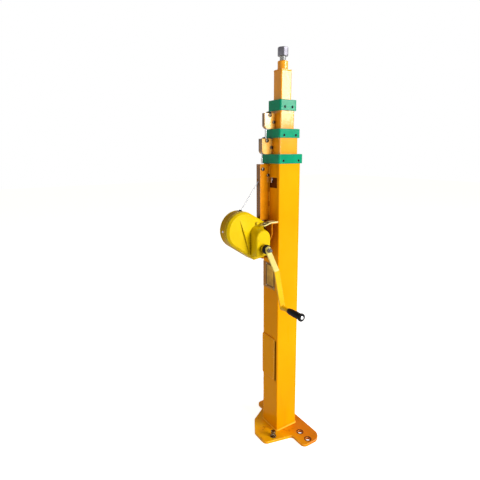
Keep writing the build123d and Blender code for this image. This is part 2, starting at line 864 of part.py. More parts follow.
def ratchet_wheel():
    # Each tooth rises with the angle and ends in a steep face
    at = (crank_y, crank_z)
    step = 360 / ratchet_teeth
    points = []
    for k in range(ratchet_teeth):
        start = ratchet_angle + k * step
        points += [polar(ratchet_root_r, start), polar(ratchet_tip_r, start + step)]
    body = side_plate(Pos(*at) * polygon_face(points), ratchet_x, ratchet_x + ratchet_w)
    return body - rod_x(ratchet_x - 1, ratchet_x + ratchet_w + 1, at, shaft_r + shaft_fit)


def pawl():
    # A toe in front of a tooth's steep face, near enough to the pin to swing up past the tooth's tip
    tip_y, tip_z = polar(ratchet_tip_r, ratchet_angle)
    swing_r = hypot(tip_y - pawl_dy, tip_z - pawl_dz) - pawl_swing_gap
    to_pin = acos((pawl_reach ** 2 + toe_r ** 2 - swing_r ** 2) / (2 * pawl_reach * toe_r))
    toe = pawl_pin_angle - degrees(to_pin)
    heel = toe + 360 / ratchet_teeth
    across = polar(pawl_boss_r, ratchet_angle)
    points = [
        polar(toe_r, toe),
        polar(ratchet_tip_r + pawl_boss_r / 2, toe),
        (pawl_dy + across[0], pawl_dz + across[1]),
        (pawl_dy - across[0], pawl_dz - across[1]),
        polar(ratchet_tip_r + 2 * pawl_clear, heel),
    ]
    x0 = ratchet_x + ratchet_gap
    x1 = ratchet_x + ratchet_w - ratchet_gap
    body = side_plate(Pos(crank_y, crank_z) * polygon_face(points), x0, x1)
    body += rod_x(x0, x1, pawl_place, pawl_boss_r)
    return body - rod_x(x0 - 1, x1 + 1, pawl_place, pawl_pin_r + axle_fit)


def pawl_pin():
    return rod_x(cover_front_x - cover_sheet, brake_front_x + pawl_pin_out, pawl_place, pawl_pin_r)


# Crank
def grip_place():
    along = polar(crank_length, crank_angle)
    return (crank_y + along[0], crank_z + along[1])


def crank_arm():
    # Hub, flat arm with an outward joggle and the grip's spindle, the arm drawn along Y and then turned
    at = (crank_y, crank_z)
    half = arm_width / 2
    out = arm_joggle
    ends = (-half, arm_joggle_start, arm_joggle_end, crank_length + half)
    near = [(x, y) for x, y in zip((arm_x, arm_x, arm_x + out, arm_x + out), ends)]
    far = [(x + arm_thick, y) for x, y in reversed(near)]
    arm = extrude(polygon_face(near + far), half, both=True)
    far_x = arm_face_x + out
    rounded = rod_x(0, far_x, (0, 0), half) + rod_x(0, far_x, (crank_length, 0), half)
    rounded += block(0, far_x, 0, crank_length, -half, half)
    body = Pos(0, *at) * Rot(crank_angle, 0, 0) * (arm & rounded)
    body += rod_x(hub_x, arm_x, at, hub_r)
    body += rod_x(hub_x, hub_x + brake_flange_w, at, brake_flange_r)
    body -= rod_x(hub_x - 1, arm_x, at, shaft_r + seat_clearance)
    body -= rod_x(arm_x - 1, arm_face_x + 1, at, crank_thread_r + seat_clearance)
    boss_x = far_x - arm_thick / 2
    body += rod_x(boss_x, far_x + spindle_boss, grip_place(), spindle_boss_r)
    return body + rod_x(boss_x, grip_end_x + grip_end_gap + grip_cap_w / 2, grip_place(), spindle_r)


def crank_nut():
    end = arm_face_x + crank_nut_h
    at = (crank_y, crank_z)
    nut = hex_x(arm_face_x, end, at, crank_nut_across)
    return nut - rod_x(arm_face_x - 1, end + 1, at, crank_thread_r + seat_clearance)


def hub_collar():
    x = brake_front_x + collar_ring_gap
    return ring_x(x, x + collar_ring_w, (crank_y, crank_z), collar_ring_r, hub_r + seat_clearance)


def grip_cap():
    x = grip_end_x + grip_end_gap
    cap = rod_x(x, x + grip_cap_w, grip_place(), grip_cap_r)
    cap = fillet(cap.edges().filter_by(GeomType.CIRCLE).sort_by(Axis.X)[-1], grip_cap_edge_r)
    return cap - rod_x(x - 1, x + grip_cap_w / 2, grip_place(), spindle_r)


def crank_grip():
    # A turned grip: a neck, a slightly swelling body and an end flange
    bore = spindle_r + axle_fit
    body_end = grip_length - grip_flange_w
    slope = grip_r - grip_neck_r
    outline = [
        (bore, 0),
        (grip_neck_r, 0),
        (grip_neck_r, grip_neck_w),
        (grip_r, grip_neck_w + 2 * slope),
        (grip_r + grip_swell, body_end - 4 * grip_swell),
        (grip_r, body_end),
        (grip_flange_r, body_end + grip_swell),
        (grip_flange_r, grip_length - grip_swell),
        (grip_flange_r - grip_swell, grip_length),
        (bore, grip_length),
    ]
    turned = revolve(Plane.XZ * polygon_face(outline), Axis.Z)
    return Pos(grip_x, *grip_place()) * Rot(0, 90, 0) * turned


# Head of the mast
def top_cap():
    bush = rod_z(0, 0, bush_z, bush_z + head_bush_h, head_bush_r)
    bush = chamfer(bush.edges().filter_by(GeomType.CIRCLE).sort_by(Axis.Z)[-1], head_bush_edge)
    bush += square_prism(width_4, tube_corner_r, tube_4_top, bush_z)
    return bush - rod_z(0, 0, bush_z, bush_z + head_bush_h + 1, stud_r)


def head_nut():
    # Its lower part holds the stud and its upper part is an open thread
    round_bar = rod_z(0, 0, nut_z, nut_z + nut_height, nut_across / 2 + nut_edge)
    round_bar = chamfer(round_bar.edges().filter_by(GeomType.CIRCLE), nut_edge)
    body = hex_z(0, 0, nut_z, nut_z + nut_height, nut_across) & round_bar
    body -= rod_z(0, 0, nut_z - 1, nut_z + nut_height, stud_r)
    return body - rod_z(0, 0, nut_z + stud_bite, nut_z + nut_height + 1, thread_r)


# Tubes with their openings
tube_1 = square_tube(width_1, base_thick, tube_1_top)
tube_1 -= pulley_window(rope_x_1, pulley_1[1], front_1)
tube_1 -= wall_opening(
    slot_x - slot_width / 2, slot_x + slot_width / 2, front_1, slot_bottom, slot_bottom + slot_length)
access_z = tube_1_top - access_drop
tube_1 -= wall_opening(access_x0, access_x0 + access_width, front_1, access_z, access_z + access_height)
tube_2 = square_tube(width_2, foot_2, tube_2_top) - pulley_window(rope_x_2, inner_2[1], front_2)
tube_3 = square_tube(width_3, foot_3, tube_3_top) - pulley_window(rope_x_3, inner_3[1], front_3)

# Writing the pieces
os.makedirs("parts", exist_ok=True)

save("base_plate", base_plate())
save_group("plate_bolts", [plate_bolt(x, y) for x, y in plate_bolt_places()])
save("outer_tube", drill_screws(tube_1, width_1, collar_1_top, collar_1_height))
save("tube_2", drill_screws(tube_2, width_2, collar_2_top, collar_2_height))
save("tube_3", drill_screws(tube_3, width_3, collar_3_top, collar_3_height))
save("top_tube", square_tube(width_4, foot_4, tube_4_top))
save("collar_1", collar(width_1, width_2, collar_1_top, collar_1_height))
save("collar_2", collar(width_2, width_3, collar_2_top, collar_2_height))
save("collar_3", collar(width_3, width_4, collar_3_top, collar_3_height))
save_group("collar_1_screws", collar_screws(width_1, collar_1_top, collar_1_height))
save_group("collar_2_screws", collar_screws(width_2, collar_2_top, collar_2_height))
save_group("collar_3_screws", collar_screws(width_3, collar_3_top, collar_3_height))
save("shoe_2", sliding_shoe(width_2, width_1, foot_2, rope_x_1))
save("shoe_3", sliding_shoe(width_3, width_2, foot_3, rope_x_2))
save("shoe_4", sliding_shoe(width_4, width_3, foot_4, rope_x_3))

save("rope_channel", rope_channel())
save_group("channel_bolts", [axle_bolt(span_1, at) for at in (pulley_1, anchor)])
save("lead_pulley", pulley(rope_x_1, pulley_1))
save("bracket_2", roller_bracket(span_2, bracket_2_depth, front_2, bracket_2_foot, outer_2, inner_2))
save("bracket_3", roller_bracket(span_3, bracket_3_depth, front_3, bracket_3_foot, outer_3, inner_3))
save_group("axles_2", [axle_bolt(span_2, at) for at in (outer_2, inner_2)])
save_group("axles_3", [axle_bolt(span_3, at) for at in (outer_3, inner_3)])
save("outer_roller_2", pulley(rope_x_2, outer_2))
save("inner_roller_2", pulley(rope_x_2, inner_2))
save("outer_roller_3", pulley(rope_x_3, outer_3))
save("inner_roller_3", pulley(rope_x_3, inner_3))

end_rise = eye_shank + ferrule_length
save("lead_rope", lead_rope())
save("rope_1_run", rope_run(rope_x_1, run_y_1, foot_2 + shoe_ledge, pulley_1[1]))
save("rope_2_eye", rope_eye(rope_x_2, anchor))
save("rope_2_outer", rope_run(rope_x_2, anchor_y, anchor[1] + end_rise, outer_2[1]))
save("rope_2_over", rope_over(rope_x_2, outer_2, inner_2))
save("rope_2_run", rope_run(rope_x_2, run_y_2, foot_3 + shoe_ledge, inner_2[1]))
save("rope_3_eye", rope_eye(rope_x_3, outer_2))
save("rope_3_outer", rope_run(rope_x_3, outer_2[0], outer_2[1] + end_rise, outer_3[1]))
save("rope_3_over", rope_over(rope_x_3, outer_3, inner_3))
save("rope_3_run", rope_run(rope_x_3, run_y_3, foot_4 + shoe_ledge, inner_3[1]))

save("standoff_bracket", standoff_bracket())
save("pin_shelf", pin_shelf())
save("winch_frame", winch_frame())
save_group(
    "winch_bolts",
    [frame_bolt(x, z) for x, z in winch_bolt_places()] + [cover_screw(at) for at in brake_ears()])
save("drum_shell", drum_shell())
save("rope_grommet", rope_grommet())
save("gear_cover", gear_cover())
save("brake_cover", brake_cover())
save_group("bushes", bushes())
save("winch_drum", winch_drum())
save("drum_gear", drum_gear())
save("pinion_shaft", pinion_shaft())
save_group("friction_discs", [friction_disc(x) for x in (disc_x_1, disc_x_2)])
save("ratchet_wheel", ratchet_wheel())
save("pawl", pawl())
save("pawl_pin", pawl_pin())
save("crank_arm", crank_arm())
save("crank_nut", crank_nut())
save("hub_collar", hub_collar())
save("crank_grip", crank_grip())
save("grip_cap", grip_cap())

save("top_cap", top_cap())
save("top_stud", rod_z(0, 0, bush_z, nut_z + stud_bite - stud_end_gap, stud_r))
save("head_nut", head_nut())
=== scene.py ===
import bpy
import math
import numpy as np
from mathutils import Matrix


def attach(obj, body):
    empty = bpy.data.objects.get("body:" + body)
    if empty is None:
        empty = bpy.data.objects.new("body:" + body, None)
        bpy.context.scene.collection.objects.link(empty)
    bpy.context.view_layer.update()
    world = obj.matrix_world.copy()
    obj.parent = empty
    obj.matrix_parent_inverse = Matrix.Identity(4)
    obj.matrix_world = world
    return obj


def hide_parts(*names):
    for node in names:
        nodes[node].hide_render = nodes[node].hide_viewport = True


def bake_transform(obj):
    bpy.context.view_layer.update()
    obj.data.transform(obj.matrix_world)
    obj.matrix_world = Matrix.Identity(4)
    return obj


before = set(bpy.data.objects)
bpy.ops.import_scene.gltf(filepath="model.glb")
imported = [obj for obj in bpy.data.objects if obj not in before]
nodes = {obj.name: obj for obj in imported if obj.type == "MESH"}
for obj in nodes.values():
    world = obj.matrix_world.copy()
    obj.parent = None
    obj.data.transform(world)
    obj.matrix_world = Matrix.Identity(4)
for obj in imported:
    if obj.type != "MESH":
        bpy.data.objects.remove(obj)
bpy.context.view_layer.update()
mm = 0.001
alongX, alongY, alongZ = np.eye(3)
print("frame loaded:", len(nodes), "nodes")


def addObject(name, data):
    added = bpy.data.objects.new(name, data)
    bpy.context.scene.collection.objects.link(added)
    return added


def turnTo(target, right, upward, back, place):
    turn = np.eye(4)
    turn[:3, 0], turn[:3, 1], turn[:3, 2], turn[:3, 3] = right, upward, back, place
    target.matrix_world = Matrix(turn.tolist())


# shapes are worked out in millimetres as stacks of rings, and go into the mesh in metres
def facesOutward(rings, closed):
    # the volume that the skin encloses, summed as a . (b x c) over its triangles, is positive when it faces outwards
    rings = rings - rings.mean((0, 1))
    after, beside = np.roll(rings, -1, 0), np.roll(rings, -1, 1)
    opposite = np.roll(after, -1, 1)
    parts = (rings * np.cross(beside, opposite)).sum(-1) + (rings * np.cross(opposite, after)).sum(-1)
    if closed:
        return parts.sum() > 0
    near, far = rings[0], rings[-1]
    caps = (near[0] * np.cross(np.roll(near, -1, 0), near)).sum() + (far[0] * np.cross(far, np.roll(far, -1, 0))).sum()
    return parts[:-1].sum() + caps > 0


def addPiece(name, stacks, material, body=None, replaced=None, creaseAngle=32.0):
    # each stack is an array of rings by points by 3: neighbouring rings are joined by quads, and the two ends get a cap
    # unless the stack is given as (rings, True) and closes on itself; rings that would face inwards are turned round
    points, faces, start = [], [], 0
    for stack in stacks:
        rings, closed = stack if isinstance(stack, tuple) else (stack, False)
        rings = rings if facesOutward(rings, closed) else rings[:, ::-1]
        rows, columns = rings.shape[:2]
        row, column = np.meshgrid(np.arange(rows if closed else rows - 1), np.arange(columns), indexing="ij")
        after, beside = (row + 1) % rows * columns, (column + 1) % columns
        corners = (row * columns + column, row * columns + beside, after + beside, after + column)
        faces += (np.stack(corners, -1).reshape(-1, 4) + start).tolist()
        if not closed:
            faces.append((start + np.arange(columns)[::-1]).tolist())
            faces.append((start + (rows - 1) * columns + np.arange(columns)).tolist())
        points.append(rings.reshape(-1, 3))
        start += rows * columns
    mesh = bpy.data.meshes.new(name)
    mesh.from_pydata((np.concatenate(points) * mm).tolist(), [], faces)
    mesh.update()
    mesh.shade_smooth()
    mesh.set_sharp_from_angle(angle=math.radians(creaseAngle))
    mesh.materials.append(material)
    piece = addObject(name, mesh)
    if body:
        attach(piece, body)
    if replaced:
        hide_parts(replaced)
    return piece


def fullTurn(count):
    return np.linspace(0, 2 * np.pi, count, endpoint=False)


def onCircle(centre, radius, turn):
    return np.stack([centre[0] + radius * np.cos(turn), centre[1] + radius * np.sin(turn)], -1)


def turnedPair(first, second, angle):
    # two directions, turned within the plane that they span
    return math.cos(angle) * first + math.sin(angle) * second, math.cos(angle) * second - math.sin(angle) * first


def distanceAlong(path):
    return np.concatenate([[0], np.cumsum(np.linalg.norm(np.diff(path, axis=0), axis=1))])


def ringsAlong(path, side, section):
    # the section's two columns are carried along the path: first along side, then along (path direction x side)
    along = np.gradient(path, axis=0)
    along /= np.linalg.norm(along, axis=1)[:, None]
    across = np.cross(along, side)
    return path[:, None] + section[..., :1] * side + section[..., 1:] * across[:, None]


# points round a turned ring, in each round corner of a loop, and at least in a whole loop
ringPoints, cornerPoints, leastPoints = 72, 9, 24


def turned(centre, axis, along, radius, columns=ringPoints):
    # rings about a straight axis: one place along it and one radius (or a row of radii) for each ring
    centre, axis, along, radius = (np.asarray(values, float) for values in (centre, axis, along, radius))
    helper = alongX if abs(axis[2]) > 0.5 else alongZ
    turn = fullTurn(columns)[:, None]
    around = np.cos(turn) * helper + np.sin(turn) * np.cross(axis, helper)
    radius = radius[:, None, None] if radius.ndim == 1 else radius[..., None]
    return centre + along[:, None, None] * axis + radius * around


def roundedLoop(width, height, radius, step):
    # a rectangle with round corners as evenly spaced points, counter-clockwise
    turn = np.linspace(0, np.pi / 2, cornerPoints)[None] + np.pi / 2 * np.arange(4)[:, None]
    centre = np.array([[1, 1], [-1, 1], [-1, -1], [1, -1]]) * (np.array([width, height]) / 2 - radius)
    corner = centre[:, None] + onCircle((0, 0), radius, turn)
    loop = np.concatenate([corner.reshape(-1, 2), corner[:1, 0]])
    reach = distanceAlong(loop)
    even = np.linspace(0, reach[-1], max(leastPoints, int(reach[-1] / step)), endpoint=False)
    return np.stack([np.interp(even, reach, loop[:, axis]) for axis in (0, 1)], -1)


# bolts: hexagons with turned ends, washers and rolled threads, all about one axis
# bevel and face are shares of the width over flats, and thread depth is a share of the pitch
nutLook = {"bevel": 0.07, "bevelRings": 5, "face": 0.475, "cone": 1.73, "threadDepth": 0.55, "threadRings": 8,
           "runOut": 0.2, "washerEdge": 0.3, "washerLip": 2, "domePole": 0.97, "domeSunk": 0.8, "domeRings": 9,
           "domeAround": 24}


def hexagon(centre, axis, start, end, flats):
    # radius = half the width over flats / cos of the angle from the nearest flat, cut by a 30 degree cone at the ends
    turn = fullTurn(ringPoints)
    flat = flats / 2 / np.cos(np.mod(turn + np.pi / 6, np.pi / 3) - np.pi / 6)
    bevel = np.linspace(0, nutLook["bevel"] * flats, nutLook["bevelRings"])
    along = np.concatenate([start + bevel, end - bevel[::-1]])
    depth = np.minimum(along - start, end - along)[:, None]
    return turned(centre, axis, along, np.minimum(flat[None], nutLook["face"] * flats + nutLook["cone"] * depth))


def thread(centre, axis, start, end, radius, pitch):
    # radius falls and rises once a pitch along the axis, and the phase turns once round the axis
    along = np.linspace(start, end, max(4, int((end - start) / pitch * nutLook["threadRings"])))
    wave = 0.5 + 0.5 * np.cos(2 * np.pi * along[:, None] / pitch - fullTurn(ringPoints)[None])
    lead = np.minimum(1.0, np.minimum(along - start, end - along) / pitch)[:, None]
    height = wave * np.clip(lead, nutLook["runOut"], 1)
    return turned(centre, axis, along, radius - nutLook["threadDepth"] * pitch * (1 - height))


def washer(centre, axis, start, end, radius):
    edge, lip = nutLook["washerEdge"], nutLook["washerLip"]
    return turned(centre, axis, [start, start, start + edge, end - edge, end, end],
                  [radius - lip, radius - edge, radius, radius, radius - edge, radius - lip])


def shank(centre, axis, start, end, radius):
    return turned(centre, axis, [start, end], [radius, radius])


def dome(centre, axis, seat, radius, height):
    # radius and height are the cosine and sine of one quarter turn
    turn = np.linspace(0, np.pi / 2 * nutLook["domePole"], nutLook["domeRings"])
    along = np.concatenate([[-nutLook["domeSunk"]], height * np.sin(turn)])
    return turned(centre, axis, seat + along, np.concatenate([[radius], radius * np.cos(turn)]), nutLook["domeAround"])


# sRGB hex to linear red, green, blue and alpha
def hexLinear(code):
    parts = [int(code[start:start + 2], 16) / 255 for start in (1, 3, 5)]
    return tuple(part / 12.92 if part <= 0.04045 else ((part + 0.055) / 1.055) ** 2.4 for part in parts) + (1.0,)


def setSockets(tree, node, sockets):
    # a socket takes either a link from another node or a value of its own
    for socket, value in sockets.items():
        if isinstance(value, bpy.types.NodeSocket):
            tree.links.new(value, node.inputs[socket])
        else:
            node.inputs[socket].default_value = value


def addNode(tree, kind, sockets=None, **settings):
    node = tree.nodes.new("ShaderNode" + kind)
    for name, value in settings.items():
        setattr(node, name, value)
    setSockets(tree, node, sockets or {})
    return node


def newMaterial(name):
    material = bpy.data.materials.new(name)
    material.use_nodes = True
    tree = material.node_tree
    return material, tree, tree.nodes["Principled BSDF"]


# the level of each layer's source at which it starts to show (socket 1) and shows in full (socket 2); the edge's is the
# cosine between the rounded normal and the flat one, and the hub glare's and the burnt tone's are metres
layerLevels = {"cream": {1: 0.072, 2: 0.077}, "burnt": {1: -0.04, 2: 0.03}, "frontShade": {1: 0.75, 2: 0.97},
               "shadeSpread": {1: 0.3, 2: 0.7}, "dust": {1: 0.6, 2: 0.78}, "cornerShade": {1: 0.75, 2: 0.3},
               "chips": {1: 0.42, 2: 0.6}, "edge": {1: 0.99, 2: 0.75}}


def twoTones(tree, place, look):
    # a cloudy noise that shades the colour into the deeper one
    cloud = addNode(tree, "TexNoise", {"Vector": place, "Scale": 1000 / look["driftMm"], "Detail": 3.0}).outputs[0]
    share = addNode(tree, "MapRange", {0: cloud, **look["driftLevels"]}).outputs[0]
    tones = addNode(tree, "Mix", {0: share, 6: hexLinear(look["colour"]), 7: hexLinear(look["deeper"])},
                    data_type="RGBA")
    return cloud, tones.outputs[2]


def edgeShare(tree, edgeMm, most=1.0):
    # the rounded normal, and how far it leans from the flat one: 0 on faces and most on edges
    rounded = addNode(tree, "Bevel", {"Radius": edgeMm * mm}, samples=6).outputs[0]
    flat = addNode(tree, "NewGeometry").outputs["True Normal"]
    lean = addNode(tree, "VectorMath", {0: rounded, 1: flat}, operation="DOT_PRODUCT").outputs["Value"]
    return rounded, addNode(tree, "MapRange", {0: lean, 4: most, **layerLevels["edge"]}).outputs[0]


def setSurface(tree, shader, look, colour, level, height, rounded):
    # the roughness follows the level of one noise, and the height of another stands on the rounded normal
    smooth, rough = look["rough"]
    spread = addNode(tree, "MapRange", {0: level, 3: smooth, 4: rough, **look["roughLevels"]})
    bump = addNode(tree, "Bump", {"Height": height, "Normal": rounded, "Distance": look["bumpMm"] * mm,
                                  "Strength": look["grain"]})
    plain = {"Metallic": 1.0} if "metal" in look else {"IOR": look["ior"], "Specular IOR Level": look["gloss"]}
    setSockets(tree, shader, {"Base Color": colour, "Roughness": spread.outputs[0], "Normal": bump.outputs[0], **plain})


# powder coat and enamel on steel: a slow drift of the colour, handling marks that run up and down, a thin pale coat
# and chips on the edges, painted shade in the corners from ambient occlusion, and the shallow waves of a sprayed skin
def paintedSteel(name, look):
    material, tree, shader = newMaterial(name)
    place = addNode(tree, "TexCoord").outputs["Object"]
    drift, colour = twoTones(tree, place, look)
    layers = {}
    # painted highlight: the glare on the bent end is painted into its colour as cream
    if "hub" in look:  # the bent end is almost cream, up to a sharp line at the outer bend
        far = addNode(tree, "Mapping", {"Vector": place, "Scale": (0, 1, 1), "Location": look["hub"]})
        reach = addNode(tree, "VectorMath", {0: far.outputs[0]}, operation="LENGTH")
        share = addNode(tree, "MapRange", {0: reach.outputs["Value"], **layerLevels["cream"]}).outputs[0]
        colour = addNode(tree, "Mix", {0: share, 6: hexLinear(look["cream"]), 7: colour}, data_type="RGBA").outputs[2]
    if "burnt" in look:  # the coat goes over to a burnt orange from the front of the plate to its ears
        layers["burnt"] = addNode(tree, "SeparateXYZ", {0: place}).outputs[1], look["burntShare"]
    if "frontShade" in look:  # painted shade: brown on the faces that look towards the ropes, at -y
        flat = addNode(tree, "NewGeometry").outputs["True Normal"]
        front = addNode(tree, "VectorMath", {0: flat, 1: (0, -1, 0)}, operation="DOT_PRODUCT")
        thick, thin = look["frontShadeShare"]
        shadeSpread = addNode(tree, "MapRange", {0: drift, 3: thick, 4: thin, **layerLevels["shadeSpread"]})
        layers["frontShade"] = front.outputs["Value"], shadeSpread.outputs[0]
    streak = addNode(tree, "Mapping", {"Vector": place, "Scale": (1, 1, look["markStretch"])})
    marks = addNode(tree, "TexNoise", {"Vector": streak.outputs[0], "Scale": 1000 / look["markMm"], "Detail": 4.0})
    layers["dust"] = marks.outputs[0], look["markShare"]
    # painted shade: ambient occlusion darkens the colour in corners and under parts
    shelter = addNode(tree, "AmbientOcclusion", {"Distance": look["cornerShadeMm"] * mm}, samples=6)
    layers["cornerShade"] = shelter.outputs["AO"], look["cornerShadeShare"]
    for layer, (source, most) in layers.items():
        share = addNode(tree, "MapRange", {0: source, 4: most, **layerLevels[layer]}).outputs[0]
        colour = addNode(tree, "Mix", {0: share, 6: colour, 7: hexLinear(look[layer])}, data_type="RGBA").outputs[2]
    rounded, edge = edgeShare(tree, look["edgeMm"])
    chips = addNode(tree, "TexNoise", {"Vector": place, "Scale": 1000 / look["chipMm"], "Detail": 2.0})
    share = addNode(tree, "MapRange", {0: chips.outputs[0], 4: look["wear"], **layerLevels["chips"]})
    worn = addNode(tree, "Math", {0: edge, 1: share.outputs[0]}, operation="MULTIPLY")
    colour = addNode(tree, "Mix", {0: worn.outputs[0], 6: colour, 7: hexLinear(look["thin"])}, data_type="RGBA")
    peel = addNode(tree, "TexNoise", {"Vector": place, "Scale": 1000 / look["grainMm"], "Detail": 1.0})
    setSurface(tree, shader, look, colour.outputs[2], marks.outputs[0], peel.outputs[0], rounded)
    return material


# moulded plastic, rubber and metal: a cloudy colour, a fine grain that may be drawn out one way, and paler rubbed edges
def grainedSurface(name, look):
    material, tree, shader = newMaterial(name)
    place = addNode(tree, "TexCoord").outputs["Object"]
    colour = twoTones(tree, place, look)[1]
    rounded, edge = edgeShare(tree, look["edgeMm"], look["wear"])
    colour = addNode(tree, "Mix", {0: edge, 6: colour, 7: hexLinear(look["rubbed"])}, data_type="RGBA")
    drawn = addNode(tree, "Mapping", {"Vector": place, "Scale": look["grainStretch"]})
    grain = addNode(tree, "TexNoise", {"Vector": drawn.outputs[0], "Scale": 1000 / look["grainMm"], "Detail": 2.0})
    setSurface(tree, shader, look, colour.outputs[2], grain.outputs[0], grain.outputs[0], rounded)
    return material


# orange peel is about 1 mm on the real coat and is drawn at 3 to 4 mm, so that it shows at this size
mastLook = {
    "colour": "#F2A104", "deeper": "#EC9700", "dust": "#CE7E12", "thin": "#FFD25E", "cornerShade": "#8A4404",
    "driftMm": 260.0, "driftLevels": {1: 0.38, 2: 0.64}, "markMm": 34.0, "markStretch": 0.12, "markShare": 0.3,
    "chipMm": 9.0, "wear": 0.7, "cornerShadeMm": 20.0, "cornerShadeShare": 0.35, "edgeMm": 1.6, "rough": (0.27, 0.33),
    "roughLevels": {1: 0.3, 2: 0.75}, "grainMm": 3.0, "grain": 0.1, "bumpMm": 0.4, "gloss": 0.03, "ior": 1.5}
# warm yellow coat of the outer tube, flat and even
mastPaint = paintedSteel("powderCoatYellow", mastLook)
# brighter on the beads, a painted highlight, so that they stand out as pale lines
beadPaint = paintedSteel("powderCoatBead", dict(mastLook, colour="#FFC640", deeper="#FFB828", cornerShadeShare=0.2))
# pale edges, a painted highlight, which draw the raised plate's outline
raisedPaint = paintedSteel("powderCoatRaised", dict(mastLook, thin="#FFD8A4", cornerShadeShare=0.0, edgeMm=2.6, wear=1.0))
# cloudy tan, a dull field round the blank plate
fadedPaint = paintedSteel("powderCoatFaded", dict(mastLook, colour="#C08A4C", deeper="#B07A40", driftMm=30.0))
# rubbed to a shine by the collars, so that the inner tubes glare
slidingLook = dict(mastLook, rough=(0.13, 0.17), gloss=0.3)
slidingPaint = paintedSteel("powderCoatRubbed", slidingLook)
# deeper orange, a painted shade of the tube beside it, and brown painted shade on the front
channelLook = dict(slidingLook, driftMm=26.0, frontShade="#5E3E16", frontShadeShare=(0.95, 0.7))
channelPaint = paintedSteel("powderCoatFrontShaded", dict(channelLook, colour="#E4900A", deeper="#D48404"))
# creamy on the cheeks, partly a painted glare, and a dark painted shade in front
bracketPaint = paintedSteel("powderCoatCreamGlare", dict(channelLook, colour="#F8C060", deeper="#F0B048", gloss=0.6,
                                                   frontShade="#2E1C08"))
# dark, a painted shade, as it lies in the winch's shade, with pale edges that are a painted highlight
standoffPaint = paintedSteel("powderCoatShaded", dict(mastLook, colour="#D08206", deeper="#BE7000", thin="#E8B860",
                                                      cornerShadeMm=45.0, cornerShadeShare=0.85))
# bright yellow in front, burnt orange and scuffed on the ears
basePaint = paintedSteel("powderCoatSoiled", dict(
    mastLook, colour="#FFBA06", deeper="#FAAA04", burnt="#D87804", burntShare=0.9, dust="#A85206", thin="#FFE8C0",
    cornerShade="#8A4A08", driftMm=55.0, markMm=24.0, markStretch=1.0, markShare=0.7, chipMm=6.0, wear=0.9, cornerShadeMm=16.0,
    edgeMm=3.0, rough=(0.36, 0.5), grain=0.16, gloss=0.08))
# dull brown, a painted shade for the inside of the access window and for the walls of the ear holes
shadeBrown = paintedSteel("shadeBrown", dict(mastLook, colour="#6A340A", deeper="#542806", dust="#482408",
                                                thin="#8A5222", driftMm=14.0, edgeMm=0.3, cornerShadeShare=0.3))
# lemon enamel of the winch, cooler than the mast, with painted shade in its corners
winchLook = dict(
    mastLook, colour="#DCBE03", deeper="#D4B200", dust="#B69214", thin="#F2DC6A", cornerShade="#6E4C04", driftMm=120.0,
    markMm=18.0, markStretch=0.5, markShare=0.2, chipMm=6.0, cornerShadeMm=12.0, cornerShadeShare=0.7, edgeMm=1.2, rough=(0.28, 0.38),
    grainMm=4.0, grain=0.06, gloss=0.08)
winchPaint = paintedSteel("enamelLemon", winchLook)
# almost cream on the shelf, a painted highlight on its upward face, and browner and flat on the drum's shell, a painted
# shade on its side
shelfPaint = paintedSteel("enamelCream", dict(winchLook, colour="#E6DA98", deeper="#DACC80", driftMm=40.0))
shellPaint = paintedSteel("enamelShell", dict(winchLook, colour="#C4960E", deeper="#B48608", gloss=0.02))
# cream at the hub, a painted glare on the bent end, and a warm yellow below the bend
crankPaint = paintedSteel("enamelPaleYellow", dict(
    winchLook, colour="#E6B404", deeper="#DEA800", cream="#D4C46A", hub=(0, 0.122, -0.804), dust="#C6A63C",
    thin="#F0E2A0", cornerShade="#7A6420", driftMm=60.0, markMm=14.0, markStretch=0.6, markShare=0.3, chipMm=5.0, wear=0.6,
    cornerShadeMm=8.0, cornerShadeShare=0.5, edgeMm=1.0, rough=(0.26, 0.36), grainMm=3.5, grain=0.08, gloss=0.15))
# moulded grain and turning marks are about 0.1 mm on the real parts and are drawn at 1 to 1.6 mm, so that they show
plasticLook = {
    "driftMm": 30.0, "driftLevels": {1: 0.36, 2: 0.66}, "edgeMm": 1.2, "wear": 0.5, "roughLevels": {1: 0.3, 2: 0.7},
    "grainMm": 1.6, "grainStretch": (1, 1, 1), "grain": 0.3, "bumpMm": 0.3, "gloss": 0.3, "ior": 1.53}
# clear green with pale edges, partly a painted highlight, and a wet sheen
collarNylon = grainedSurface("mouldedNylonGreen", dict(
    plasticLook, colour="#04946C", deeper="#028660", rubbed="#7CDCC4", driftMm=40.0, edgeMm=1.5, rough=(0.13, 0.17),
    grain=0.08, gloss=0.08))
# milky white, matt
shoeNylon = grainedSurface("castNylonNatural", dict(
    plasticLook, colour="#E0DBCB", deeper="#D2CBB6", rubbed="#EFEBDF", edgeMm=1.0, wear=0.4, rough=(0.4, 0.55),
    grain=0.2, gloss=0.5))
# blue-black with a fine grain
blackPlastic = grainedSurface("mouldedPolypropyleneBlack", dict(
    plasticLook, colour="#121216", deeper="#0C0C10", rubbed="#2A2A30", grainMm=1.4, rough=(0.34, 0.5), gloss=0.06))
# matt black without sheen
grommetRubber = grainedSurface("mouldedRubberBlack", dict(
    plasticLook, colour="#1B1B1B", deeper="#131313", rubbed="#2E2C2A", driftMm=12.0, edgeMm=0.8, wear=0.3, grainMm=1.0,
    rough=(0.55, 0.75)))
# speckled brown and rough
brakeLining = grainedSurface("pressedBrakeLining", dict(
    plasticLook, colour="#5A4634", deeper="#443526", rubbed="#7A6650", driftMm=6.0, edgeMm=0.6, wear=0.3, grainMm=1.2,
    rough=(0.7, 0.9), grain=0.6))
metalLook = dict(plasticLook, metal=True, driftMm=5.0, edgeMm=0.6, wear=0.7, grainMm=1.0, grain=0.15, bumpMm=0.2)
# cool grey with a yellowish cloud
zincPlate = grainedSurface("zincPlatedSteel", dict(
    metalLook, colour="#A9ACB0", deeper="#98968A", rubbed="#D2D3D4", driftMm=7.0, grainMm=1.2, rough=(0.26, 0.42)))
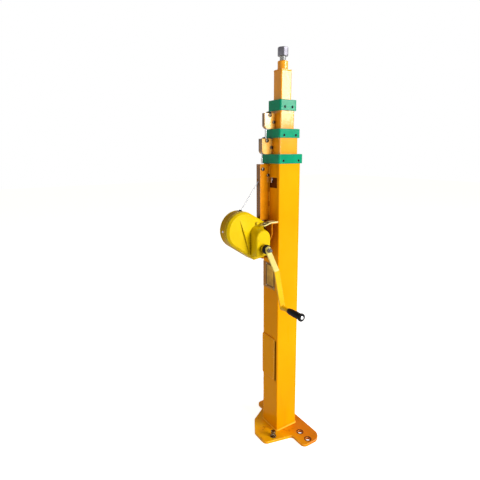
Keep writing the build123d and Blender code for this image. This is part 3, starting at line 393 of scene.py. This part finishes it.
# smooth mid grey with pale corners
brightNickel = grainedSurface("nickelPlatedSteel", dict(
    metalLook, colour="#6C6A70", deeper="#58565C", rubbed="#B8B8BC", driftMm=14.0, edgeMm=0.8, wear=0.6, grainMm=1.5,
    grainStretch=(1, 1, 0.2), rough=(0.36, 0.46), grain=0.06))
# almost white and mirror-like
polishedSteel = grainedSurface("polishedSteel", dict(
    metalLook, colour="#E4E4E6", deeper="#D2D3D6", rubbed="#F2F2F2", driftMm=6.0, edgeMm=0.5, wear=0.4,
    rough=(0.12, 0.22), grain=0.06))
# near black with bright rubbed corners, and a warmer brown of the same kind
brownedSteel = grainedSurface("brownedSteel", dict(
    metalLook, colour="#42382E", deeper="#2E261E", rubbed="#E2D8C4", edgeMm=0.7, wear=0.9, rough=(0.26, 0.4)))
oiledSteel = grainedSurface("oiledSteel", dict(
    metalLook, colour="#6E5428", deeper="#4E3812", rubbed="#E8DEC8",
    driftMm=6.0, edgeMm=0.8, wear=0.9, rough=(0.26, 0.4)))
# black, so that the collar screws read as dark dots
blackOxide = grainedSurface("blackOxideSteel", dict(
    metalLook, colour="#141416", deeper="#0E0E10", rubbed="#3C3C40",
    driftMm=4.0, edgeMm=0.4, wear=0.5, rough=(0.34, 0.5)))
# pale grey wire
wireSteel = grainedSurface("galvanisedWire", dict(
    metalLook, colour="#AEB0B4", deeper="#989A9E", rubbed="#C8CACE", edgeMm=0.3, wear=0.2, rough=(0.32, 0.48)))
# dark oily steel with turning marks
gearSteel = grainedSurface("oiledBareSteel", dict(
    metalLook, colour="#55565A", deeper="#46443F", rubbed="#8F9094", driftMm=10.0, grainMm=1.2,
    grainStretch=(0.2, 1, 1), rough=(0.3, 0.48), grain=0.2))
# dull gold
bushBronze = grainedSurface("sinteredBronze", dict(
    metalLook, colour="#B48A4C", deeper="#96703A", rubbed="#D3AE72", edgeMm=0.5, wear=0.6, rough=(0.35, 0.5),
    grain=0.2))
# brushed dark brown for the blank plate and a paler one for its middle
brushedLook = dict(metalLook, edgeMm=0.5, wear=0.8, grainMm=1.2, grainStretch=(1, 1, 0.15), rough=(0.34, 0.5),
                   grain=0.12)
plateSteel = grainedSurface("darkAnodisedPlate", dict(
    brushedLook, colour="#5E4214", deeper="#50360E", rubbed="#9A7838", driftMm=16.0))
panelSteel = grainedSurface("paleAnodisedPlate", dict(
    brushedLook, colour="#967430", deeper="#7C5C22", rubbed="#B89448", driftMm=18.0))
print("materials made:", len(bpy.data.materials))

# what each solid of the frame is finished with
finishes = {
    mastPaint: ["outer_tube"],
    standoffPaint: ["standoff_bracket"],
    slidingPaint: ["tube_2", "tube_3", "top_tube", "top_cap"],
    channelPaint: ["rope_channel"],
    bracketPaint: ["bracket_2", "bracket_3"],
    basePaint: ["base_plate"],
    winchPaint: ["winch_frame", "gear_cover", "brake_cover", "pawl_pin"],
    shelfPaint: ["pin_shelf"],
    shellPaint: ["drum_shell"],
    crankPaint: ["crank_arm"],
    collarNylon: ["collar_1", "collar_2", "collar_3"],
    shoeNylon: ["shoe_2", "shoe_3", "shoe_4"],
    blackPlastic: ["crank_grip", "hub_collar", "lead_pulley", "outer_roller_2", "inner_roller_2", "outer_roller_3",
                   "inner_roller_3"],
    grommetRubber: ["rope_grommet"],
    brakeLining: ["friction_discs"],
    blackOxide: ["collar_1_screws", "collar_2_screws", "collar_3_screws"],
    zincPlate: ["winch_bolts", "rope_2_eye", "rope_3_eye", "winch_drum", "top_stud"],
    oiledSteel: ["plate_bolts"],
    brownedSteel: ["channel_bolts", "axles_2", "axles_3", "crank_nut"],
    polishedSteel: ["grip_cap"],
    brightNickel: ["head_nut"],
    wireSteel: ["lead_rope", "rope_1_run", "rope_2_outer", "rope_2_over", "rope_2_run", "rope_3_outer", "rope_3_over",
                "rope_3_run"],
    gearSteel: ["drum_gear", "pinion_shaft", "ratchet_wheel", "pawl"],
    bushBronze: ["bushes"],
}
for material, names in finishes.items():
    for name in names:
        nodes[name].data.materials.clear()
        nodes[name].data.materials.append(material)
print("finishes given:", sum(len(names) for names in finishes.values()))


# camera: fitted to the photograph's square frame of 480 pixels
cameraLook = {"place": (1.1959, -0.9209, 1.1494), "azimuth": 52.4, "yaw": -5.1, "pitch": 11.6, "roll": -0.4,
              "focalPixels": 392.0, "centre": (246.7, 232.5), "frame": 480.0, "sensor": 36.0}


def placeCamera(look):
    azimuth, yaw, pitch, roll = (math.radians(look[key]) for key in ("azimuth", "yaw", "pitch", "roll"))
    right, ahead = turnedPair(alongX, alongY, azimuth)
    ahead, right = turnedPair(ahead, right, yaw)
    ahead = turnedPair(ahead, alongZ, -pitch)[0]
    right, upward = turnedPair(right, np.cross(right, ahead), roll)
    data = bpy.data.cameras.new("photoCamera")
    data.sensor_width = look["sensor"]
    data.lens = look["sensor"] * look["focalPixels"] / look["frame"]
    data.shift_x = (look["frame"] / 2 - look["centre"][0]) / look["frame"]
    data.shift_y = (look["centre"][1] - look["frame"] / 2) / look["frame"]
    camera = addObject("photoCamera", data)
    turnTo(camera, right, upward, -ahead, look["place"])
    bpy.context.scene.camera = camera


placeCamera(cameraLook)
print("camera placed")


# wire ropes: six strands laid round a core, worked out as one twisted surface; the lay is drawn a little long
ropeLook = {"diameter": 4.0, "lay": 30.0, "step": 1.6, "arcStep": 0.8, "shortStep": 1.2, "around": 36, "strands": 6,
            "crease": 60.0}
firstRopeX, secondRopeX, thirdRopeX = -26.0, -16.5, -8.0
pulleyRadius, drumRopeRadius = 12.0, 34.0
crankAxis = (-122.0, 804.0)
gearCentres, gearRise = 84.0, math.radians(48.4)
drumAxis = (crankAxis[0] - gearCentres * math.cos(gearRise), crankAxis[1] + gearCentres * math.sin(gearRise))
leadPulley = (-56.75, 1064.0)
outerTwo, innerTwo = (-68.0, 1189.5), (-47.75, 1165.5)
outerThree, innerThree = (-56.0, 1279.5), (-38.75, 1255.5)


def straightRun(start, end, step):
    share = np.linspace(0, 1, max(2, int(math.dist(start, end) / step)))[:, None]
    return np.array(start)[None] * (1 - share) + np.array(end)[None] * share


def arcRun(centre, radius, start, end, step):
    return onCircle(centre, radius, np.linspace(start, end, max(4, int(abs(end - start) * radius / step))))


def laidRope(name, x, runs, look, body=None, replaced=None):
    # radius of a ring of strands, each strand a circle of a third of the rope's radius, turned once a lay
    line = np.concatenate([runs[0]] + [run[1:] for run in runs[1:]])
    path = np.column_stack([np.full(len(line), x), line])
    turn, share = fullTurn(look["around"])[None], np.pi / look["strands"]
    offset = np.mod(turn + 2 * np.pi * distanceAlong(path)[:, None] / look["lay"] + share, 2 * share) - share
    outer, lobe = look["diameter"] / 2, look["diameter"] / 3
    radius = lobe * np.cos(offset) + np.sqrt(np.maximum((outer / 3) ** 2 - (lobe * np.sin(offset)) ** 2, 0))
    rings = ringsAlong(path, alongX, onCircle((0, 0), radius, turn))
    return addPiece(name, [rings], wireSteel, body, replaced, look["crease"])


def leadRuns():
    reachY, reachZ = leadPulley[0] - drumAxis[0], leadPulley[1] - drumAxis[1]
    angle = math.atan2(reachZ, reachY) - math.asin((drumRopeRadius - pulleyRadius) / math.hypot(reachY, reachZ))
    lift = angle + math.pi / 2
    start, end = onCircle(drumAxis, drumRopeRadius, lift), onCircle(leadPulley, pulleyRadius, lift)
    return [straightRun(start, end, ropeLook["step"]), arcRun(leadPulley, pulleyRadius, lift, 0, ropeLook["arcStep"])]


def overRuns(outer, inner):
    lift = math.atan2(inner[1] - outer[1], inner[0] - outer[0]) + math.pi / 2
    leave, meet = onCircle(outer, pulleyRadius, lift), onCircle(inner, pulleyRadius, lift)
    return [arcRun(outer, pulleyRadius, math.pi, lift, ropeLook["arcStep"]),
            straightRun(leave, meet, ropeLook["shortStep"]),
            arcRun(inner, pulleyRadius, lift, 0, ropeLook["arcStep"])]


fixedRopes = {"lead_rope": (firstRopeX, leadRuns(), "mast"),
              "rope_2_over": (secondRopeX, overRuns(outerTwo, innerTwo), "stage_2"),
              "rope_3_over": (thirdRopeX, overRuns(outerThree, innerThree), "stage_3")}
for node, (x, runs, body) in fixedRopes.items():
    laidRope("laid_" + node, x, runs, ropeLook, body, node)

# each stretching run has its x and y, the heights of its two ends, and the bodies that these ends ride on
stretchingRopes = {"rope_1_run": (firstRopeX, -44.75, 1063.7, 43.3, "mast", "stage_2"),
                   "rope_2_outer": (secondRopeX, -80.0, 1128.3, 1189.2, "mast", "stage_2"),
                   "rope_2_run": (secondRopeX, -35.75, 1165.2, 63.3, "stage_2", "stage_3"),
                   "rope_3_outer": (thirdRopeX, -68.0, 1230.8, 1279.2, "stage_2", "stage_3"),
                   "rope_3_run": (thirdRopeX, -26.75, 1255.2, 83.3, "stage_3", "stage_4")}
for node, (x, y, fixedEnd, movingEnd, first, second) in stretchingRopes.items():
    rope = laidRope("laid_" + node, x, [straightRun((y, fixedEnd), (y, movingEnd), ropeLook["step"])], ropeLook)
    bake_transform(rope)
    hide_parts(node)
print("ropes laid")


# bolts, nuts and the stud: each shape of a bolt has its from and to along the bolt, then its width over flats or its
# radius, and a thread its pitch; the dome has its seat, radius and height
boltLook = {"plate": ((washer, 10.0, 12.0, 12.5), (hexagon, 12.0, 20.0, 18.0), (thread, 0.8, 26.5, 6.0, 1.75),
                      (hexagon, 26.0, 34.0, 18.0)),
            "frame": ((washer, -85.0, -84.0, 6.2), (hexagon, -88.0, -85.0, 10.0), (hexagon, -76.0, -71.0, 10.0),
                      (thread, -71.5, -69.0, 3.0, 1.0), (shank, -86.0, -72.0, 3.0)),
            "ear": ((washer, 14.5, 15.3, 6.0), (hexagon, 15.3, 18.5, 10.0), (shank, 8.0, 15.5, 3.0)),
            "crank": ((washer, 90.1, 91.3, 8.4), (hexagon, 91.2, 95.6, 16.0), (dome, 95.4, 6.6, 3.6)),
            "stud": ((thread, 1438.0, 1499.5, 11.7, 3.0),)}
platePlaces = ((67.0, -80.0, 0), (-67.0, 58.0, 0))
framePlaces = [(x, 0, z) for x in (-29, -17) for z in (772, 874)]
earPlaces = [(0, crankAxis[0], z) for z in (769, 890)]
crossLook = {"outerFlats": 13.0, "innerFlats": 11.0, "washer": 1.2, "washerShare": 0.51, "head": 4, "nut": 5, "tail": 2,
             "shank": 3.0, "pitch": 1.0, "overlap": 1}
anchorBolt = (-80, 1087)
channelLegs, secondLegs, thirdLegs = (-34, -10), (-24.5, -1.5), (-16, 0)
crankCentre = (0, *crankAxis)


def boltsAt(places, axis, shapes):
    return [shape(place, axis, *sizes) for place in places for shape, *sizes in shapes]


def crossBolt(place, legs, size):
    # across two legs: washers on the legs' faces, the head on the right and the nut with its tail on the left
    (left, right), flats, radius = legs, crossLook[size], crossLook["shank"]
    thick, overlap, nutEnd = crossLook["washer"], crossLook["overlap"], left - crossLook["nut"]
    wide = flats * crossLook["washerShare"]
    return boltsAt([(0, *place)], alongX, (
        (washer, right, right + thick, wide), (hexagon, right + thick, right + crossLook["head"], flats),
        (washer, left - thick, left, wide), (hexagon, nutEnd, left - thick, flats),
        (thread, nutEnd - crossLook["tail"], nutEnd + overlap, radius, crossLook["pitch"]),
        (shank, left - overlap, right + overlap, radius)))


def boltPiece(node, stacks, body, material):
    addPiece("turned_" + node, stacks, material, body, node)


boltPiece("plate_bolts", boltsAt(platePlaces, alongZ, boltLook["plate"]), "mast", oiledSteel)
boltPiece("channel_bolts", crossBolt(leadPulley, channelLegs, "innerFlats")
          + crossBolt(anchorBolt, channelLegs, "outerFlats"), "mast", brownedSteel)
boltPiece("axles_2", crossBolt(outerTwo, secondLegs, "outerFlats") + crossBolt(innerTwo, secondLegs, "innerFlats"),
          "stage_2", brownedSteel)
boltPiece("axles_3", crossBolt(outerThree, thirdLegs, "outerFlats") + crossBolt(innerThree, thirdLegs, "innerFlats"),
          "stage_3", brownedSteel)
boltPiece("winch_bolts", boltsAt(framePlaces, alongY, boltLook["frame"]), "mast", zincPlate)
addPiece("painted_ear_screws", boltsAt(earPlaces, alongX, boltLook["ear"]), winchPaint, "mast",
         "winch_bolts")
boltPiece("crank_nut", boltsAt([crankCentre], alongX, boltLook["crank"]), "crank", brownedSteel)
boltPiece("top_stud", boltsAt([(0, 0, 0)], alongZ, boltLook["stud"]), "stage_4", zincPlate)
print("bolts turned")


# crank arm: a rounded flat bar with an outward joggle, its hub, and the grip's boss and spindle
armLook = {"face": 84.1, "thick": 6.0, "width": 22.0, "joggle": 29.0, "joggleFrom": 13.0, "joggleTo": 74.0,
           "soften": 4.0, "length": 223.0, "direction": -78.8, "edge": 1.5, "endRings": 14, "barRings": 110,
           "window": 21, "tip": 0.05, "loopStep": 0.8}
# places along the crank's axis, and the radius at each
hubLook = {"along": [34.1, 34.1, 34.6, 37.6, 38.1, 39.0, 40.0, 83.0, 85.0],
           "radius": [8, 19.0, 19.5, 19.5, 19.0, 13.0, 12.0, 12.0, 13.0]}
bossLook = {"along": [116.1, 119.0, 121.0, 126.0, 152.1, 152.8, 153.1, 153.1, 153.4, 228.0, 228.4],
            "radius": [11.0, 11.0, 10.0, 8.4, 8.0, 7.8, 7.4, 6.5, 5.0, 5.0, 4.6]}


def crankArm(look):
    # the bar's middle stands at face + joggle(distance along the arm), where joggle is a straight ramp averaged over
    # a short window, and its half width is the chord of a half circle near both ends
    half, length = look["width"] / 2, look["length"]
    quarter = np.linspace(0, np.pi / 2, look["endRings"])
    share = np.concatenate([1 - np.cos(quarter), np.linspace(1, 2, look["barRings"])[1:-1], 2 + np.sin(quarter)])
    distance = np.interp(share, [0, 1, 2, 3], [-half + look["tip"], 0, length, length + half - look["tip"]])
    window = np.linspace(-look["soften"], look["soften"], look["window"])
    ramp = np.interp(distance[:, None] + window[None], [look["joggleFrom"], look["joggleTo"]], [0, look["joggle"]])
    beyond = np.maximum(np.maximum(-distance, distance - length), 0)
    wide = np.sqrt(half ** 2 - beyond ** 2)
    along, sideways = turnedPair(alongY, alongZ, math.radians(look["direction"]))
    loop = roundedLoop(look["width"], look["thick"], look["edge"], look["loopStep"])
    middle = np.array([look["face"] + look["thick"] / 2, *crankAxis]) + distance[:, None] * along
    middle[:, 0] += ramp.mean(1)
    across = loop[None, :, :1] / half * wide[:, None, None]
    return middle[:, None] + across * sideways + loop[None, :, 1:] * alongX


gripAxis = (0, *onCircle(crankAxis, armLook["length"], math.radians(armLook["direction"])))
hub, boss = turned(crankCentre, alongX, **hubLook), turned(gripAxis, alongX, **bossLook)
addPiece("bent_crank", [crankArm(armLook), hub, boss], crankPaint, "crank", "crank_arm")

# sleeve of the hub: a painted boss that runs a little into a moulded ring
sleeveLook = {"boss": {"along": [58.0, 58.4, 70.0], "radius": [14.1, 14.5, 14.5]},
              "ring": {"along": [69.0, 70.0, 80.6, 82.0], "radius": [16.0, 17.0, 17.0, 15.6]}}
for name, part, material, slot in (("painted_sleeve", "boss", winchPaint, "winch_yellow"),
                                   ("moulded_sleeve", "ring", blackPlastic, "black_plastic")):
    addPiece(name, [turned(crankCentre, alongX, **sleeveLook[part])], material, "crank", "hub_collar")

# grip: turned black plastic, a soft swelling between a neck and a rolled end flange
gripLook = {"start": 153.5, "length": 73.0, "neck": 10.0, "body": 11.5, "swell": 1.0, "flange": 14.5,
            "edge": 1.8, "neckLength": 3, "riseLength": 6, "flangeLength": 9, "stepLength": 2.5, "swellFrom": 9,
            "swellShort": 20, "bore": 6.0, "rings": 150, "cap": (227.2, 6.4, 2.6)}


def turnedGrip(look):
    # radius = neck, a cosine rise to the body, a half sine of swell along it, a cosine step up to the flange, less
    # the quarter circle that rounds the flange off
    length = look["length"]
    along = np.linspace(0, length, look["rings"])
    risen = np.clip((along - look["neckLength"]) / look["riseLength"], 0, 1)
    stepped = np.clip((along - length + look["flangeLength"]) / look["stepLength"], 0, 1)
    swollen = np.clip((along - look["swellFrom"]) / (length - look["swellShort"]), 0, 1)
    left = np.clip((length - along) / look["edge"], 0, 1)
    radius = look["neck"] + (look["body"] - look["neck"]) * (0.5 - 0.5 * np.cos(np.pi * risen))
    radius += (look["flange"] - look["body"]) * (0.5 - 0.5 * np.cos(np.pi * stepped))
    radius += look["swell"] * np.sin(np.pi * swollen)
    radius -= look["edge"] * (1 - np.sqrt(1 - (1 - left) ** 2))
    ends = [look["bore"]]
    return np.concatenate([[0.0], along, [length]]) + look["start"], np.concatenate([ends, radius, ends])


grip = turned(gripAxis, alongX, *turnedGrip(gripLook))
addPiece("turned_grip", [grip], blackPlastic, "grip", "crank_grip")
addPiece("domed_cap", [dome(gripAxis, alongX, *gripLook["cap"])], polishedSteel, "crank", "grip_cap")
print("crank bent")


# weld beads: a round bead carried along each seam, swelling once a weld step (drawn coarse, so that it shows)
beadLook = {"around": 12, "step": 5.0, "ripple": 0.16, "spacing": 1.0, "endShare": 0.25}
# rings: tube width, corner, height and bead radius; level seams: x from, x to, height and bead radius; upright seams
# on one face: its y, the height from and the height to
weldLook = {"face": -50.5, "radius": 2.2, "bracketRadius": 1.7, "baseRing": (100.0, 5.0, 10.5, 3.2),
            "level": ((-40, 18, 892.5, 2.2), (-40, -13, 742.5, 2.2), (21, 47, 896.4, 1.8)),
            "slotX": 29.6, "slot": (-50.6, 238, 414),
            "channelX": (-34.5, -9.5), "channelLow": (912, 966, 1062), "channelRun": 36,
            "secondX": (-24.7, -1.3), "second": (-42.3, 1148, 1192),
            "thirdX": (-16.2, 0.2), "third": (-32.3, 1238, 1282),
            "headRings": ((38.0, 18.9, 1438.4, 1.9), (48.0, 5.0, 1434.0, 0.9))}


def weldBead(path, side, radius, closed=False):
    # the bead's circle swells by the ripple times |sin| of the distance along the seam
    path = np.asarray(path, float)
    travelled = distanceAlong(path)
    swell = 1 + beadLook["ripple"] * np.abs(np.sin(np.pi * travelled / beadLook["step"]))
    if closed:  # one more point at each end gives the direction where the bead meets itself
        path = np.concatenate([path[-1:], path, path[:1]])
        swell = np.concatenate([swell[-1:], swell, swell[:1]])
    else:
        ends = np.minimum(travelled, travelled[-1] - travelled)
        swell = swell * np.clip(np.sqrt(ends / radius), beadLook["endShare"], 1)
    circle = onCircle((0, 0), radius, fullTurn(beadLook["around"]))
    rings = ringsAlong(path, side, swell[:, None, None] * circle[None])
    return (rings[1:-1], True) if closed else rings


def straightSeam(start, end, radius):
    return weldBead(straightRun(start, end, beadLook["spacing"]), alongY, radius)


def uprightSeam(x, y, low, high, radius):
    return straightSeam((x, y, low), (x, y, high), radius)


def ringSeam(width, corner, z, radius):
    loop = roundedLoop(width, width, corner, beadLook["spacing"])
    return weldBead(np.column_stack([loop, np.full(len(loop), z)]), alongZ, radius, True)


face = weldLook["face"]
mastWelds = [ringSeam(*weldLook["baseRing"])]
mastWelds += [straightSeam((left, face, z), (right, face, z), radius) for left, right, z, radius in weldLook["level"]]
mastWelds.append(uprightSeam(weldLook["slotX"], *weldLook["slot"], weldLook["radius"]))
mastWelds += [uprightSeam(x, face, low, low + weldLook["channelRun"], weldLook["radius"])
              for x in weldLook["channelX"] for low in weldLook["channelLow"]]
addPiece("mast_welds", mastWelds, beadPaint, "mast")
for name, which, body in (("second_tube_welds", "second", "stage_2"), ("third_tube_welds", "third", "stage_3")):
    seams = [uprightSeam(x, *weldLook[which], weldLook["bracketRadius"]) for x in weldLook[which + "X"]]
    addPiece(name, seams, mastPaint, body)
addPiece("head_welds", [ringSeam(*ring) for ring in weldLook["headRings"]], mastPaint, "stage_4")
print("welds run")


# winch trim: the folded panel on the gear cover and the shell's rivet
foldLook = {"face": 12.0, "top": (-196.0, 912.0), "bottom": (-153.0, 766.0), "farTop": (-128.0, 892.0),
            "farBottom": (-138.0, 771.0), "rise": 6.0, "skin": 0.25, "sunk": 0.6, "grownAt": 0.3, "curve": 1.2,
            "rows": 48, "columns": 24}


def foldedPanel(look):
    # a sheet with one share going down the fold line and one across to the far line: it stands off the cover by the
    # rise at the fold, which grows from the top end, and falls back to the skin at the far line
    down = np.linspace(0, 1, look["rows"])[:, None]
    across = np.linspace(0, 1, look["columns"])[None]
    near = np.array(look["top"]) * (1 - down) + np.array(look["bottom"]) * down
    far = np.array(look["farTop"]) * (1 - down) + np.array(look["farBottom"]) * down
    place = near[:, None] * (1 - across[..., None]) + far[:, None] * across[..., None]
    grown = np.clip(down / look["grownAt"], 0, 1)
    height = look["skin"] + look["rise"] * grown ** look["curve"] * (1 - across) ** look["curve"]
    top = np.concatenate([(look["face"] + height)[..., None], place], -1)
    under = np.concatenate([np.full(height.shape + (1,), look["face"] - look["sunk"]), place], -1)
    return np.concatenate([top, under[:, ::-1]], 1)


addPiece("folded_panel", [foldedPanel(foldLook)], winchPaint, "mast")
rivetLook = {"x": -23.0, "shell": 69.0, "angle": 180.0, "dome": (0, 4.2, 2.4)}
rivetTurn = math.radians(rivetLook["angle"])
rivetAxis, rivetSeat = (0, *onCircle((0, 0), 1, rivetTurn)), onCircle(drumAxis, rivetLook["shell"], rivetTurn)
shellRivet = dome((rivetLook["x"], *rivetSeat), rivetAxis, *rivetLook["dome"])
addPiece("shell_rivets", [shellRivet], zincPlate, "mast")

# the blank plate under the winch on its backing sheet, with a paler middle, held by four small rivets
backingLook = {"x": (-48.0, 31.0), "z": (618.0, 724.0), "face": -50.0, "thick": 0.4, "corner": 2.0}
plateLook = {"x": (-28.5, 28.5), "z": (626.0, 721.0), "face": -50.3, "thick": 0.8, "corner": 3.0,
             "rivetInset": 3.5, "rivetFace": -50.7, "rivet": (0, 2.2, 1.3)}
middleLook = {"x": (-21.5, 21.5), "z": (633.0, 714.0), "face": -51.0, "thick": 0.4, "corner": 2.0}
# the raised plate beside the long slot
raisedLook = {"x": (-47.0, 28.8), "z": (238.0, 416.0), "face": -49.9, "thick": 5.0, "corner": 4.0}
plateEdge = {"sunk": 0.3, "bevel": 0.2, "inset": 0.25, "step": 2.0}


def roundedPlate(look):
    # a round-cornered outline stacked through the thickness, its outer edge broken
    width, height = look["x"][1] - look["x"][0], look["z"][1] - look["z"][0]
    thick, rows = look["thick"], []
    for inset, depth in ((0, plateEdge["sunk"]), (0, -thick + plateEdge["bevel"]), (plateEdge["inset"], -thick)):
        loop = roundedLoop(width - 2 * inset, height - 2 * inset, look["corner"], plateEdge["step"])
        rows.append(np.column_stack([loop[:, 0] + sum(look["x"]) / 2, np.full(len(loop), look["face"] + depth),
                                     loop[:, 1] + sum(look["z"]) / 2]))
    count = min(len(row) for row in rows)
    return np.stack([row[:count] for row in rows])


def cornerRivets(look):
    inset = look["rivetInset"]
    places = [(x, z) for x in (look["x"][0] + inset, look["x"][1] - inset)
              for z in (look["z"][0] + inset, look["z"][1] - inset)]
    return [dome((x, look["rivetFace"], z), (0, -1, 0), *look["rivet"]) for x, z in places]


for name, look, material, slot in (("blank_plate", plateLook, plateSteel, "zinc_steel"),
                                   ("plate_middle", middleLook, panelSteel, "zinc_steel"),
                                   ("plate_backing", backingLook, fadedPaint, "mast_yellow"),
                                   ("raised_plate", raisedLook, raisedPaint, "mast_yellow")):
    addPiece(name, [roundedPlate(look)], material, "mast")
addPiece("plate_rivets", cornerRivets(plateLook), zincPlate, "mast")

# rubber rim round the shelf's pin hole: a low lip carried round the tilted axis of the hole, which stays open
shelfRimLook = {"centre": (34.0, -96.893, 889.24), "axis": (0, -0.2756, 0.9613), "bore": 9.1, "outer": 11.6,
                "seat": 1.8, "top": 3.9, "round": 0.4}


def shelfRim(look):
    seat, top, edge, bore, outer = (look[key] for key in ("seat", "top", "round", "bore", "outer"))
    return turned(look["centre"], look["axis"], [seat, top - edge, top, top, top - edge, seat],
                  [outer, outer, outer - edge, bore + edge, bore, bore])


addPiece("shelf_rim", [(shelfRim(shelfRimLook), True)], grommetRubber, "mast")

# in the access window, a plain tab that hangs from the upper edge and bends outwards, and behind it a thin dark sheet
# that paints the shade inside the window
tabLook = {"x": 0.5, "top": 1057.5, "length": 21.0, "y": -48.2, "bend": 2.6, "width": 11.0, "thick": 1.4, "rows": 24,
           "corner": 0.5, "loopStep": 0.6}
shadeSheetLook = {"x": 14.5, "low": 1014.0, "high": 1060.0, "y": -46.6, "bow": 1.6, "width": 53.0, "thick": 0.8, "rows": 30,
            "corner": 0.35, "loopStep": 1.5}


def sheetAlong(look, depth, height):
    # a flat round-edged strip carried along the line of its depths and heights
    path = np.column_stack([np.full(look["rows"], look["x"]), depth, height])
    section = roundedLoop(look["width"], look["thick"], look["corner"], look["loopStep"])
    return [ringsAlong(path, alongX, section[None])]


def hangingTab(look):
    # depth = start minus bend times the square of the share of the length already gone
    share = np.linspace(0, 1, look["rows"])
    return sheetAlong(look, look["y"] - look["bend"] * share ** 2, look["top"] - look["length"] * share)


def shadeSheet(look):
    # depth = start plus bow times the sine of half a turn over the height
    share = np.linspace(0, 1, look["rows"])
    return sheetAlong(look, look["y"] + look["bow"] * np.sin(np.pi * share),
                      look["low"] + (look["high"] - look["low"]) * share)


addPiece("window_tab", hangingTab(tabLook), polishedSteel, "mast")
addPiece("window_shade_sheet", shadeSheet(shadeSheetLook), shadeBrown, "mast")

# dark rims round the ear holes, a painted shade of the holes' walls
earShadeLook = {"places": ((156, 28), (107, 28), (-131, 28), (-82, 28)), "bore": 10.1, "outer": 14.8, "top": 10.0,
           "rise": 0.35, "sunk": 0.4, "bevel": 0.5}


def earShadeRims(look):
    bore, outer, rise, sunk = (look[key] for key in ("bore", "outer", "rise", "sunk"))
    along, radius = [-sunk, rise, rise, -sunk], [bore, bore, outer - look["bevel"], outer]
    return [(turned((x, y, look["top"]), alongZ, along, radius), True) for x, y in look["places"]]


addPiece("ear_shade_rims", earShadeRims(earShadeLook), shadeBrown, "mast")
print("trim fitted")


# floor, backdrop and light: white to the camera and to mirrors, a plain level on the object
# each lamp has its place, its aim, its two sides in metres and its watts
stageLook = {"floorHalf": 14.0, "floorColour": "#E6E6E6", "floorGlow": 0.8, "fill": 0.3, "fillColour": "#FFF0DC",
             "lamps": {"keyLamp": ((4.3, 1.1, 1.5), (0, 0, 0.65), (1.8, 1.8), 125.0),
                       "glareLamp": ((3.8, 2.4, 2.1), (0, 0, 0.9), (1.8, 1.05), 145.0),
                       "softLamp": ((-1.4, -4.2, 0.7), (0, 0, 0.5), (2.4, 1.6), 34.0)}}


def aimedLamp(name, place, aim, size, watts):
    data = bpy.data.lights.new(name, "AREA")
    data.shape, data.size, data.size_y, data.energy = "RECTANGLE", *size, watts
    back = np.array(place) - np.array(aim)
    back = back / np.linalg.norm(back)
    right = np.cross(alongZ, back)
    right /= np.linalg.norm(right)
    turnTo(addObject(name, data), right, np.cross(back, right), back, place)


def seenStraight(tree):
    # 1 for rays from the camera and for those that a mirror or a pane passes on, else 0
    path = addNode(tree, "LightPath")
    seen = addNode(tree, "Math", {0: path.outputs["Is Camera Ray"], 1: path.outputs["Is Glossy Ray"]},
                   operation="MAXIMUM")
    return addNode(tree, "Math", {0: seen.outputs[0], 1: path.outputs["Is Transmission Ray"]}, operation="MAXIMUM")


def buildStage(look):
    material, tree, shader = newMaterial("paperFloor")  # matt white paper, near white and without gloss
    tree.nodes.remove(shader)
    matt = addNode(tree, "BsdfDiffuse", {"Color": hexLinear(look["floorColour"])})
    level = addNode(tree, "MapRange", {0: seenStraight(tree).outputs[0], 4: look["floorGlow"]})
    glow = addNode(tree, "Emission", {"Color": (1, 1, 1, 1), "Strength": level.outputs[0]})
    both = addNode(tree, "AddShader", {0: matt.outputs[0], 1: glow.outputs[0]})
    setSockets(tree, tree.nodes["Material Output"], {"Surface": both.outputs[0]})
    half = look["floorHalf"]
    mesh = bpy.data.meshes.new("paperFloor")
    mesh.from_pydata([(-half, -half, 0), (half, -half, 0), (half, half, 0), (-half, half, 0)], [], [(0, 1, 2, 3)])
    mesh.materials.append(material)
    addObject("paperFloor", mesh)
    world = bpy.data.worlds.new("studio")
    bpy.context.scene.world = world
    world.use_nodes = True
    tree = world.node_tree
    seen = seenStraight(tree).outputs[0]
    level = addNode(tree, "MapRange", {0: seen, 3: look["fill"]})
    tone = addNode(tree, "Mix", {0: seen, 6: hexLinear(look["fillColour"]), 7: (1, 1, 1, 1)}, data_type="RGBA")
    setSockets(tree, tree.nodes["Background"], {"Strength": level.outputs[0], "Color": tone.outputs[2]})
    for name, (place, aim, size, watts) in look["lamps"].items():
        aimedLamp(name, place, aim, size, watts)
    bpy.context.scene.view_settings.view_transform = "Standard"


buildStage(stageLook)
print("stage built")
